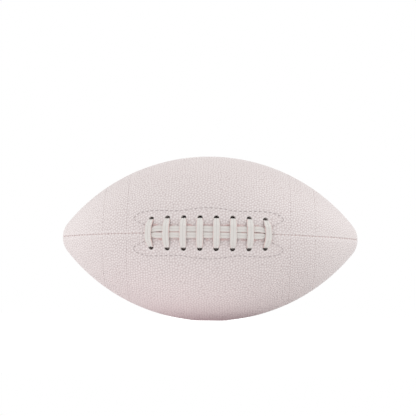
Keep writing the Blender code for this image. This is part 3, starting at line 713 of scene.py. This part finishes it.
# %% Make one panel
def make_panel(name, quarter, chance):
    """The visible leather of one panel, with its relief and the values for its colour and painted
    shade.
    """
    mesh = finish_mesh(spun_quarter(), "leather_" + name)
    count = len(mesh.vertices)
    points = np.empty(count * 3)
    mesh.vertices.foreach_get("co", points)
    column = np.empty(count)
    mesh.attributes["column"].data.foreach_get("value", column)
    mesh.attributes.remove(mesh.attributes["column"])
    lean, turn, depth, nearer = fold_seams(points[::3], np.rint(column))
    rim = skin(lean)[1]
    turn = turn + quarter * QUARTER

    def point_at(deep):
        along, radius = skin(lean, deep)
        return np.stack([along, -radius * np.cos(turn), radius * np.sin(turn)], 1)

    flat = point_at(depth)
    relief = pebble_relief(flat, scatter_pebbles(quarter, chance))
    beyond = ARC_LENGTH / 2 + TIP_RADIUS * (np.abs(lean) - TANGENT_LEAN)
    on_arc = np.abs(lean) <= TANGENT_LEAN
    distance = np.where(on_arc, ARC_RADIUS * lean, np.sign(lean) * beyond)
    from_fold = np.maximum(nearer - FOLD_COLUMNS, 0) * rim * QUARTER / GRID_COLUMNS
    pull = (0.5 + 0.5 * np.cos(2 * math.pi * distance / SEAM_STITCH)) ** 2
    near_tip = np.clip((np.abs(flat[:, 0]) / LENGTH - SMOOTHED_FROM) / SMOOTHED_OVER, 0, 1)
    strength = 1 - SEAM_SMOOTHING * bump(from_fold, SEAM_DENT_WIDTH)
    strength *= 1 - TIP_SMOOTHING * near_tip
    dent = SEAM_DENT * pull * bump(from_fold, SEAM_DENT_WIDTH) * np.minimum(1, rim / SEAM_DENT_RIM)
    # Painted shade in the seam's crease: darker and warmer where the fold sinks deeper.
    seam = np.clip(depth / FOLD_DEPTH, 0, 1) ** SEAM_SHADE_POWER
    hole_shade = np.zeros(count)
    run_edge_shade = np.zeros(count)
    if quarter in FRONT_SIDES:
        across = (turn - (4 * QUARTER if quarter else 0)) * rim
        front_dent, kept, hole_shade, run_edge_shade = press_front(flat, across, quarter)
        dent += front_dent
        strength *= kept

    dent += PEBBLE_HEIGHT * (1 - relief) * strength
    at_pole = np.clip((np.abs(lean) - DIMPLE_FROM) / DIMPLE_OVER, 0, 1)
    points = point_at(depth + dent + TIP_DIMPLE * at_pole)
    points[:, 2] = np.maximum(points[:, 2], FLOOR)
    mesh.vertices.foreach_set("co", points.astype(np.float32).ravel())
    grain = relief * strength + 1 - strength
    for label, values in (("pebble", grain), ("seam", seam), ("hole_shade", hole_shade), ("run_edge_shade", run_edge_shade)):
        layer = mesh.attributes.new(label, "FLOAT", "POINT")
        layer.data.foreach_set("value", values.astype(np.float32))
    return mesh


# %% Punch and show a panel
def panel_holes(quarter):
    """The holes of one panel, each with its centre, axis and radius."""
    if quarter == 1:
        return [(place(0, BELLY, VALVE_TURN), outward(0, VALVE_TURN), VALVE_HOLE)]
    if quarter == 2:
        return []
    side = FRONT_SIDES[quarter]
    spots = [(along, side * hole_reach(along), HOLE / 2) for along in cross_places()]
    spots += [(end * MOUTH, 0.0, MOUTH_HOLE / 2) for end in (-1, 1)]
    return [(*spot_on_skin(along, across), radius) for along, across, radius in spots]


def punch_panel(mesh, quarter):
    """Punch the lace holes, the mouths of the opening or the valve's hole."""
    centres = np.empty(len(mesh.polygons) * 3)
    mesh.polygons.foreach_get("center", centres)
    shape = bmesh.new()
    shape.from_mesh(mesh)
    punch(shape, centres.reshape(-1, 3), panel_holes(quarter), WALL_DEPTH)
    bmesh.ops.recalc_face_normals(shape, faces=shape.faces)
    shape.faces.ensure_lookup_table()
    probe = shape.faces[0]
    if probe.normal.dot(probe.calc_center_median()) < 0:
        bmesh.ops.reverse_faces(shape, faces=shape.faces)
    shape.to_mesh(mesh)
    shape.free()


def add_piece(mesh, material, replaced=()):
    """Show a mesh as a piece of the ball, in the place of some of its solids."""
    piece = add_object(mesh.name, mesh)
    mesh.materials.append(material)
    mesh.shade_smooth()
    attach(piece, "root")
    if replaced:
        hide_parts(*replaced)


# %% [markdown]
# ### The leather's finish
#
# White football leather is a coloured hide under a satin coat. The colour is a little deeper in the
# valleys of the grain, partly the hide's own tone and partly painted shade. Deeper in the seams'
# folds it is darker and warmer, which is painted shade in the creases, and the thread holes are
# painted dark as their shade. Beside the lacing, a reddish painted shade lies in patches along the
# outer edge of each run. The relief gave each point these four values, and fine noise adds the
# pores.

# %% Leather material
HIDE_LIGHT = from_screen(230, 223, 221)
HIDE_DEEP = from_screen(227, 221, 220)
# Valleys of the grain: partly the hide's own deeper tone, partly painted shade.
VALLEY_TONE_AND_SHADE = from_screen(194, 181, 180)
# Painted shade deep in the seams' creases.
SEAM_CREASE_SHADE = from_screen(224, 211, 209)
# Reddish painted shade beside the runs of the lace.
RUN_SHADE_COLOUR = from_screen(214, 178, 174)
# Painted shade in the thread holes.
THREAD_HOLE_SHADE = from_screen(150, 132, 131)

leather, tree, shader = new_material("white pebbled leather", roughness=0.5, specular=0.4)
cloud = texture(tree, "Noise", Scale=14.0, Detail=3.0, Roughness=0.55)
pores = texture(tree, "Noise", Scale=1500.0, Detail=3.0, Roughness=0.6)
patches = texture(tree, "Noise", Scale=130.0, Detail=2.0)
hide = blend(tree, cloud, HIDE_LIGHT, HIDE_DEEP)
# Deeper colour in the grain's valleys: partly the hide's own, partly painted shade.
grain = blend(tree, attribute(tree, "pebble"), VALLEY_TONE_AND_SHADE, hide)
# Painted shade in the seams' creases.
edge = blend(tree, attribute(tree, "seam"), grain, SEAM_CREASE_SHADE)
# Painted shade in patches beside the runs.
patchy = map_range(tree, patches, From_Min=0.4, From_Max=0.6)
patchy_run_shade = combine(tree, "MULTIPLY", attribute(tree, "run_edge_shade"), patchy)
run_shaded = blend(tree, patchy_run_shade, edge, RUN_SHADE_COLOUR)
# Painted shade in the thread holes.
skin_colour = blend(tree, attribute(tree, "hole_shade"), run_shaded, THREAD_HOLE_SHADE)
cover(tree, shader, skin_colour, pores, strength=0.25, distance=0.05 * MM)

# %% Build the four panels
# Each panel has its own fixed chance, so that every run gives the same pebbles.
FIRST_CHANCE = 5

for quarter, name in enumerate(("upper_front", "upper_back", "lower_back", "lower_front")):
    panel = make_panel(name, quarter, random.Random(quarter + FIRST_CHANCE))
    punch_panel(panel, quarter)
    add_piece(panel, leather, ["panel_" + name])
    print(panel.name, len(panel.polygons), "faces")

# %% [markdown]
# ## The stitches
#
# A stitch is a short length of waxed thread that dives into the leather at both ends. A small
# stretched sphere with blunted ends, half sunk in its groove, reads as just that, and is light
# enough to repeat hundreds of times. In the seams the thread crosses the valley, so there each
# stitch lies across; on the wavy rows and on the stripes it lies along the row.

# %% Lay stitches
STITCH_BLUNTNESS = 0.45


def make_stitch_pattern():
    """One stitch of length and thickness 2, lying along X."""
    shape = bmesh.new()
    bmesh.ops.create_uvsphere(shape, u_segments=8, v_segments=6, radius=1.0,
                              matrix=Matrix.Rotation(QUARTER, 4, "Y"))
    for vert in shape.verts:
        vert.co.x = math.copysign(abs(vert.co.x) ** STITCH_BLUNTNESS, vert.co.x)
    return finish_mesh(shape, "stitch pattern")


stitch_pattern = make_stitch_pattern()


def lay_stitch(shape, centre, ahead, up, length, thickness):
    """Add one stitch to a bmesh."""
    side = up.cross(ahead).normalized()
    up = ahead.cross(side).normalized()
    turned = Matrix((ahead.normalized(), side, up)).transposed().to_4x4()
    size = Matrix.Diagonal((length / 2, thickness / 2, thickness / 2, 1))
    stitch = stitch_pattern.copy()
    stitch.transform(Matrix.Translation(centre) @ turned @ size)
    shape.from_mesh(stitch)
    bpy.data.meshes.remove(stitch)


def finish_stitches(shape, name, material, replaced=()):
    """Turn a bmesh of stitches into a piece, none of which sinks into the floor."""
    for vert in shape.verts:
        vert.co.z = max(vert.co.z, FLOOR)
    bmesh.ops.recalc_face_normals(shape, faces=shape.faces)
    mesh = finish_mesh(shape, name)
    add_piece(mesh, material, replaced)
    print(name, len(mesh.polygons), "faces")


def sew_row(spots, shape, sink, thickness, share):
    """Lay a stitch between each spot and the next. A spot is a point and the skin's normal."""
    for (first, up), (last, _) in zip(spots, spots[1:]):
        ahead = last - first
        centre = (first + last) / 2 - up * sink
        lay_stitch(shape, centre, ahead, up, ahead.length * share, thickness)


# %% Thread material
ROW_COLOUR = from_screen(190, 179, 179)
STRIPE_COLOUR = from_screen(213, 202, 201)
SEAM_COLOUR = from_screen(214, 195, 193)
SHADED = 0.8


def thread_material(name, colour):
    """Waxed thread: a soft sheen, a twist along its length and slightly uneven colour."""
    made, tree, shader = new_material(name, roughness=0.6, specular=0.35)
    shade = texture(tree, "Noise", Scale=600.0, Detail=2.0)
    twist = texture(tree, "Wave", Scale=500.0, Distortion=1.5)
    uneven = blend(tree, shade, tuple(SHADED * c for c in colour), colour)
    cover(tree, shader, uneven, twist, strength=0.5, distance=0.05 * MM)
    return made


row_thread = thread_material("waxed row thread", ROW_COLOUR)
stripe_thread = thread_material("waxed stripe thread", STRIPE_COLOUR)
seam_thread = thread_material("waxed seam thread", SEAM_COLOUR)

# %% Sew the wavy rows and the stripes
ROW_STITCH = {"sink": -0.04 * MM, "thickness": 0.66 * MM, "share": 0.7}
FINE_STITCH = {"sink": 0.14 * MM, "thickness": 0.42 * MM, "share": 0.55}

for name, (quarter, side) in zip(("upper", "lower"), FRONT_SIDES.items()):
    shape = bmesh.new()
    row = [spot_on_skin(p.x, p.y) for p in wavy_row(side, WAVY_STITCH)]
    sew_row(row, shape, **ROW_STITCH)
    finish_stitches(shape, "row_stitches_" + name, row_thread,
                    ["facing_thread_" + name])
    shape = bmesh.new()
    for along in STRIPES:
        sew_row(stripe_spots(along, quarter), shape, **FINE_STITCH)
    finish_stitches(shape, "stripe_stitches_" + name, stripe_thread)

# %% Close the seams
SEAM_THREAD_END = math.radians(70)
SLIT_END = lean_at(MOUTH + MOUTH_HOLE / 2 + 0.3 * MM)
SEAM_THREAD_DEPTH = 0.55 * MM
SEAM_STITCH_LENGTH = 2.1 * MM
SEAM_STITCH_THICKNESS = 0.75 * MM


def sew_seam(name, quarter, first, last):
    """Stitches across the valley of one seam, from one lean to another."""
    shape = bmesh.new()
    turn = quarter * QUARTER
    side = Vector((0, math.sin(turn), math.cos(turn)))
    count = int(OUTLINE_LENGTH / 2 / SEAM_STITCH)
    for i in range(-count, count + 1):
        lean = lean_after(i * SEAM_STITCH)
        if first <= lean <= last:
            fold = min(1.0, FOLD_SHARE * float(skin(lean)[1]) / FOLD_WIDTH)
            centre = place(*skin(lean, SEAM_THREAD_DEPTH * fold), turn)
            lay_stitch(shape, centre, side, outward(lean, turn), SEAM_STITCH_LENGTH * fold,
                       SEAM_STITCH_THICKNESS * fold)
    finish_stitches(shape, "stitches_" + name, seam_thread, ["seam_thread_" + name])


sew_seam("front_left", 0, -SEAM_THREAD_END, -SLIT_END)
sew_seam("front_right", 0, SLIT_END, SEAM_THREAD_END)
sew_seam("top", 1, -SEAM_THREAD_END, SEAM_THREAD_END)
sew_seam("back", 2, -SEAM_THREAD_END, SEAM_THREAD_END)
sew_seam("bottom", 3, -SEAM_THREAD_END, SEAM_THREAD_END)

# %% [markdown]
# ## The lace
#
# One flat lace closes the opening. It comes up at the left end, runs along the seam and down at
# the right end, crosses eight times from hole to hole on its way back, and runs along the seam
# once more. A straight bar is made first and divided into rings. Each ring is then given the
# lace's flat section and set on the route, bunched where the lace squeezes through a hole.
#
# Each row of the tables is a point on the way out of a hole or mouth: how far it has come, its
# depth under the skin, and the lace's width and thickness there. A fifth number is a share: how
# far a run has moved from the mouth's side to its own line, or how much of that side a tail keeps.

# %% Points where the lace bunches to pass a hole
LACE_WIDTH = 6.3 * MM
LACE_THICKNESS = 1.2 * MM
OVER_SKIN = -0.9 * MM
OVER_RUNS = -2.4 * MM
INNER_RUN_DEPTH = 4.65 * MM
PULL = 1.2 * MM
TAIL = STITCH_HALF_LENGTH + 1.5 * MM - MOUTH
HOLE_ROWS = [
    mm(0.0, 3.0, 3.2, 1.8),
    mm(0.0, 0.5, 4.2, 1.8),
    mm(0.3, -0.4, 4.7, 1.6),
    mm(1.1, -1.0, 5.3, 1.4),
    mm(2.4, -1.35, 5.9, 1.25),
    (*mm(4.0, -1.75), LACE_WIDTH, LACE_THICKNESS),
]
INSIDE_ROWS = [
    mm(0.1, 4.1, 2.8, 1.5),
    mm(1.0, 4.9, 3.6, 1.3),
    (3.0 * MM, INNER_RUN_DEPTH, LACE_WIDTH, LACE_THICKNESS),
]
MOUTH_ROWS = [
    (*mm(0.0, 1.3, 2.1, 1.9), 0.0),
    (*mm(0.4, 0.1, 2.1, 1.8), 0.0),
    (*mm(1.4, -0.85, 2.6, 1.4), 0.1),
    (2.8 * MM, OVER_SKIN, *mm(3.6, 1.3), 0.47),
    (4.2 * MM, OVER_SKIN, 4.7 * MM, LACE_THICKNESS, 0.78),
    (5.8 * MM, OVER_SKIN, RUN_WIDTH, LACE_THICKNESS, 1.0),
]
TAIL_ROWS = [
    (*mm(0.0, 2.7, 2.1, 1.9), 1.0),
    (*mm(0.4, 3.9, 2.4, 1.7), 1.0),
    (1.4 * MM, INNER_RUN_DEPTH, *mm(3.2, 1.4), 0.9),
    (4.0 * MM, INNER_RUN_DEPTH, 5.0 * MM, LACE_THICKNESS, 0.4),
    (TAIL / 2, INNER_RUN_DEPTH, RUN_WIDTH, LACE_THICKNESS, 0.0),
    (TAIL, INNER_RUN_DEPTH, RUN_WIDTH, LACE_THICKNESS, 0.0),
]
MOUTH_SIDE = 1.35 * MM
MOUTH_TURN = ((2.2 * MM, 1), (3.1 * MM, 0))
TURN_WIDTH = 2.05 * MM
CROSS_BOW = 2.0 * MM
BOW_POWER = 3
OVER_RUN_SPOTS = mm(6.9, 3.5)
INNER_HOPS = 2
RUN_PARTS = 4
ROUTE_STEP = 0.9 * MM


# %% The lace's route, piece by piece
def upwards(along, across):
    """The direction along the surface, across the lacing."""
    turn = turn_of(along, across)
    return Vector((0, math.sin(turn), math.cos(turn)))


def lengthwise(along, across):
    """The direction along the surface, towards the right tip."""
    lean = lean_at(along)
    return Vector((math.cos(lean), 0, 0)) + place(0, -math.sin(lean), turn_of(along, across))


def cross_rows(along):
    """A cross from its upper hole to its lower one."""
    reach = hole_reach(along) - PULL
    bow = CROSS_BOW * (along / LAST_CROSS) ** BOW_POWER
    half = [(reach - toward, *row) for toward, *row in HOLE_ROWS]
    half += [(across, OVER_RUNS, LACE_WIDTH, LACE_THICKNESS) for across in OVER_RUN_SPOTS]
    middle = [(0.0, OVER_RUNS, LACE_WIDTH, LACE_THICKNESS)]
    rows = []
    for across, depth, width, thickness in half + middle + [(-a, *row) for a, *row in half[::-1]]:
        x = along + bow * (1 - (across / reach) ** 2)
        rows.append((on_skin(x, across, depth), width, thickness, lengthwise(x, across)))
    return rows


def inner_rows(start, start_across, end, end_across, hops):
    """The lace inside the ball, from one hole's edge to another's."""
    total = end_across - start_across
    toward = math.copysign(1, total)
    marks = [(start_across + toward * near, *row) for near, *row in INSIDE_ROWS]
    last = [(end_across - toward * near, *row) for near, *row in INSIDE_ROWS]
    first, final = marks[-1][0], last[-1][0]
    for i in range(hops):
        across = first + (final - first) * (i + 1) / (hops + 1)
        marks.append((across, INNER_RUN_DEPTH, LACE_WIDTH, LACE_THICKNESS))
    rows = []
    for across, depth, width, thickness in marks + last[::-1]:
        x = start + (end - start) * (across - start_across) / total
        rows.append((on_skin(x, across, depth), width, thickness, lengthwise(x, across)))
    return rows


def run_rows(side):
    """A long run over the skin, from the left mouth to the right one."""
    target = RUN_MIDDLE + side * (RUN_WIDTH + RUN_GAP) / 2
    half = []
    for toward, depth, width, thickness, share in MOUTH_ROWS:
        across = side * MOUTH_SIDE + (target - side * MOUTH_SIDE) * share
        half.append((MOUTH - toward, across, depth, width, thickness))
    inner = half[-1][0]
    middle = [(inner * i / RUN_PARTS, target, OVER_SKIN, RUN_WIDTH, LACE_THICKNESS)
              for i in range(1 - RUN_PARTS, RUN_PARTS)]
    marks = [(-x, *rest) for x, *rest in half] + middle + half[::-1]
    return [(on_skin(x, across, depth), width, thickness, upwards(x, across))
            for x, across, depth, width, thickness in marks]


def turning_rows(end, side):
    """The lace in a mouth, while it turns to run across."""
    x, across = end * MOUTH, side * MOUTH_SIDE
    along = lengthwise(x, across)
    return [(on_skin(x, across, depth), TURN_WIDTH, TURN_WIDTH, upwards(x, across) * up + along)
            for depth, up in MOUTH_TURN]


def mouth_to_hole_rows(end, side):
    """The lace inside, from a mouth to the hole of the last cross."""
    hole = end * LAST_CROSS
    return inner_rows(end * MOUTH, side * MOUTH_SIDE, hole, side * (hole_reach(hole) - PULL), 0)


def tail_rows(end, side):
    """A loose end of the lace, inside the ball."""
    rows = []
    for away, depth, width, thickness, share in TAIL_ROWS:
        along, across = end * (MOUTH + away), side * MOUTH_SIDE * share
        rows.append((on_skin(along, across, depth), width, thickness, upwards(along, across)))
    return rows


def lace_route():
    """The whole route from tail to tail."""
    places = cross_places()
    rows = tail_rows(-1, 1)[::-1] + run_rows(1) + turning_rows(1, 1) + mouth_to_hole_rows(1, 1)
    for i in reversed(range(CROSSES)):
        rows += cross_rows(places[i])
        if i:
            reach, next_reach = hole_reach(places[i]) - PULL, hole_reach(places[i - 1]) - PULL
            rows += inner_rows(places[i], -reach, places[i - 1], next_reach, INNER_HOPS)
    rows += mouth_to_hole_rows(-1, -1)[::-1] + turning_rows(-1, -1)[::-1]
    return rows + run_rows(-1) + tail_rows(1, -1)


# %% A finer route, smooth between its points
def heading(a, b, c):
    """The direction of a smooth line at b, where the nearer neighbour counts for more."""
    before, after = (b - a).length, (c - b).length
    if before == 0 or after == 0:
        return (c - a).normalized()
    return ((b - a) / before * after + (c - b) / after * before) / (before + after)


def between(a, b, c, d, t):
    """A point between b and c on a smooth line through a, b, c and d."""
    length = (c - b).length
    leaving, arriving = heading(a, b, c) * length, heading(b, c, d) * length
    eased = t * t * (3 - 2 * t)
    return b * (1 - eased) + c * eased + leaving * t * (1 - t) ** 2 - arriving * t * t * (1 - t)


def refine(rows, step):
    """Add rows between the given ones, where they lie further apart than a step."""
    fine = []
    for i in range(len(rows) - 1):
        around = [rows[min(max(i + k, 0), len(rows) - 1)] for k in (-1, 0, 1, 2)]
        parts = max(1, round((around[2][0] - around[1][0]).length / step))
        for k in range(parts):
            t = k / parts
            point = between(*[row[0] for row in around], t)
            width, thickness, side = (around[1][n] * (1 - t) + around[2][n] * t for n in (1, 2, 3))
            fine.append((point, width, thickness, side.normalized()))
    return fine + [rows[-1]]


route = refine(lace_route(), ROUTE_STEP)
lace_length = sum((q[0] - p[0]).length for p, q in zip(route, route[1:]))
print("the lace is %.0f mm long" % (lace_length / MM))

# %% Lay the lace along the route
LACE_CORNER = [
    (1.0, 0.0), (0.99, 0.42), (0.95, 0.74), (0.87, 0.94), (0.77, 0.99), (0.67, 0.84),
    (0.57, 0.98), (0.4, 1.0), (0.24, 0.97), (0.11, 0.82), (0.0, 0.66),
]
LACE_QUARTER = len(LACE_CORNER) - 1
LACE_SIDES = 4 * LACE_QUARTER


def straight_lace(stations):
    """A straight round bar along Z, with a ring of points for each station of the route."""
    shape = bmesh.new()
    bmesh.ops.create_cone(shape, cap_ends=True, segments=LACE_SIDES, radius1=1, radius2=1, depth=2)
    uprights = [edge for edge in shape.edges if abs(edge.verts[0].co.z - edge.verts[1].co.z) > 1]
    bmesh.ops.subdivide_edges(shape, edges=uprights, cuts=stations - 2, use_grid_fill=True)
    return shape


def lace_section(angle):
    """The lace's section: rounded edges, and on each face a middle groove and two finer ones."""
    number = round(angle / QUARTER * LACE_QUARTER) % LACE_SIDES
    in_half = number % (2 * LACE_QUARTER)
    a, b = LACE_CORNER[min(in_half, 2 * LACE_QUARTER - in_half)]
    if LACE_QUARTER < number < 3 * LACE_QUARTER:
        a = -a
    if number > 2 * LACE_QUARTER:
        b = -b
    return a, b


def frame_of(rows, i):
    """The matrix that puts the section at one station of the route."""
    point, width, thickness, sideways = rows[i]
    ahead = (rows[min(i + 1, len(rows) - 1)][0] - rows[max(i - 1, 0)][0]).normalized()
    side = (sideways - sideways.dot(ahead) * ahead).normalized()
    turned = Matrix((side, ahead.cross(side), ahead)).transposed().to_4x4()
    size = Matrix.Diagonal((width / 2, thickness / 2, 1, 1))
    return Matrix.Translation(point) @ turned @ size


def make_lace(rows):
    """The lace as one closed mesh."""
    shape = straight_lace(len(rows))
    side = shape.verts.layers.float.new("lace_side")
    groove_shade = shape.verts.layers.float.new("lace_groove_shade")
    frames = [frame_of(rows, i) for i in range(len(rows))]
    for vert in shape.verts:
        station = round((vert.co.z + 1) / 2 * (len(rows) - 1))
        a, b = lace_section(math.atan2(vert.co.y, vert.co.x))
        vert[side] = a
        # A share of painted shade: more where the section dips in, at its grooves and rounded
        # edges.
        vert[groove_shade] = 1 - abs(b)
        vert.co = frames[station] @ Vector((a, b, 0))
    bmesh.ops.recalc_face_normals(shape, faces=shape.faces)
    return finish_mesh(shape, "lace_tape")


# %% Lace material
FACE_DARK = from_screen(211, 208, 204)
FACE_LIGHT = from_screen(220, 217, 213)
# Painted shade in the lace's grooves and on its rounded edges.
LACE_GROOVE_SHADE = from_screen(180, 170, 166)
RIM_COLOUR = from_screen(219, 193, 188)

tape, tree, shader = new_material("off-white lace", roughness=0.42, specular=0.45)
wear = texture(tree, "Noise", Scale=90.0, Detail=4.0, Roughness=0.6)
fibres = texture(tree, "Noise", Scale=1800.0, Detail=2.0)
patches = texture(tree, "Noise", Scale=160.0, Detail=2.0)
away = add_node(tree, "Math", operation="ABSOLUTE")
tree.links.new(attribute(tree, "lace_side"), away.inputs[0])
rim = map_range(tree, away.outputs[0], From_Min=0.76, From_Max=0.95)
patchy = map_range(tree, patches, From_Min=0.38, From_Max=0.58, To_Min=0.25)
frayed = combine(tree, "MULTIPLY", rim, patchy)
face = blend(tree, wear, FACE_DARK, FACE_LIGHT)
# Painted shade in the grooves and on the rounded edges.
groove_shaded = blend(tree, attribute(tree, "lace_groove_shade"), face, LACE_GROOVE_SHADE)
worn = blend(tree, frayed, groove_shaded, RIM_COLOUR)
cover(tree, shader, worn, fibres, strength=0.5, distance=0.08 * MM)

# %% Build the lace
lace = make_lace(route)
add_piece(lace, tape, ["lace"])
print("lace:", len(lace.polygons), "faces")

# %% [markdown]
# ## The valve
#
# The rubber valve ends just under the surface of the upper back panel, with a small hole for the
# pump's needle. Its outline is spun about its own axis, which is how such a valve is turned too.

# %% Rubber
RUBBER_DARK = (0.018, 0.018, 0.018)
RUBBER_DUSTY = (0.045, 0.043, 0.042)

rubber, tree, shader = new_material("black rubber", roughness=0.55, specular=0.4)
dust = texture(tree, "Noise", Scale=400.0, Detail=4.0)
dusty = blend(tree, dust, RUBBER_DARK, RUBBER_DUSTY)
cover(tree, shader, dusty, dust, strength=0.3, distance=0.05 * MM)

# %% Valve
VALVE_STEPS = 40
SHARP_EDGE = math.radians(40)
VALVE_OUTLINE = [
    (0.9, 14.0), (0.9, 1.1), (1.15, 0.6), (1.7, 0.42), (2.1, 0.55), (2.5, 0.36), (3.4, 0.3),
    (3.75, 0.42), (3.8, 0.8), (3.8, 5.2), (9.0, 6.1), (9.0, 7.1), (2.5, 7.1), (2.5, 14.0),
]

shape = bmesh.new()
ring = [shape.verts.new((r * MM, 0, -deep * MM)) for r, deep in VALVE_OUTLINE]
edges = [shape.edges.new((ring[i], ring[(i + 1) % len(ring)])) for i in range(len(ring))]
bmesh.ops.spin(shape, geom=ring + edges, cent=(0, 0, 0), axis=(0, 0, 1), angle=4 * QUARTER,
               steps=VALVE_STEPS, use_merge=True)
bmesh.ops.recalc_face_normals(shape, faces=shape.faces)
facing_out = outward(0, VALVE_TURN).to_track_quat("Z", "X").to_matrix().to_4x4()
at_hole = Matrix.Translation(place(0, BELLY, VALVE_TURN))
bmesh.ops.transform(shape, verts=shape.verts, matrix=at_hole @ facing_out)
valve = finish_mesh(shape, "valve_rubber")
add_piece(valve, rubber, ["valve"])
valve.set_sharp_from_angle(angle=SHARP_EDGE)
print("valve:", len(valve.polygons), "faces")

# %% [markdown]
# ## What lies inside
#
# Linings, facings, guard and bladder are hidden by the leather, and show only through a hole. They
# keep their solids and get finishes of their own: woven cloth, smooth hide and black rubber.

# %% Cloth for the linings and facings
LINING_LIGHT = (0.55, 0.52, 0.47)
LINING_DARK = (0.36, 0.33, 0.29)
FACING_LIGHT = (0.62, 0.57, 0.54)
FACING_DARK = (0.42, 0.37, 0.35)


def cloth_material(name, light, dark, threads):
    """Plain woven cloth: two sets of threads, one over the other."""
    made, tree, shader = new_material(name, roughness=0.85, specular=0.2)
    warp = texture(tree, "Wave", Scale=threads, Distortion=0.4)
    weft = texture(tree, "Wave", Scale=threads, Distortion=0.4, bands_direction="Z")
    weave = combine(tree, "MULTIPLY", warp, weft)
    woven = blend(tree, weave, dark, light)
    cover(tree, shader, woven, weave, strength=0.6, distance=0.1 * MM)
    return made


lining_cloth = cloth_material("lining cloth", LINING_LIGHT, LINING_DARK, threads=330.0)
facing_cloth = cloth_material("facing cloth", FACING_LIGHT, FACING_DARK, threads=250.0)

# %% Hide for the lace guard
GUARD_DARK = (0.6, 0.51, 0.49)
GUARD_LIGHT = (0.72, 0.63, 0.6)

guard_hide, tree, shader = new_material("guard hide", roughness=0.7, specular=0.3)
nap = texture(tree, "Noise", Scale=500.0, Detail=5.0)
cover(tree, shader, blend(tree, nap, GUARD_DARK, GUARD_LIGHT))

# %% Finish the hidden solids
HIDDEN_FINISHES = {
    "lining": lining_cloth,
    "facing": facing_cloth,
    "lace_guard": guard_hide,
    "bladder": rubber,
}

for name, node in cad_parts.items():
    for start, finish in HIDDEN_FINISHES.items():
        if name.startswith(start) and not node.hide_render:
            node.data.materials.clear()
            node.data.materials.append(finish)
            print(name, "is", finish.name)
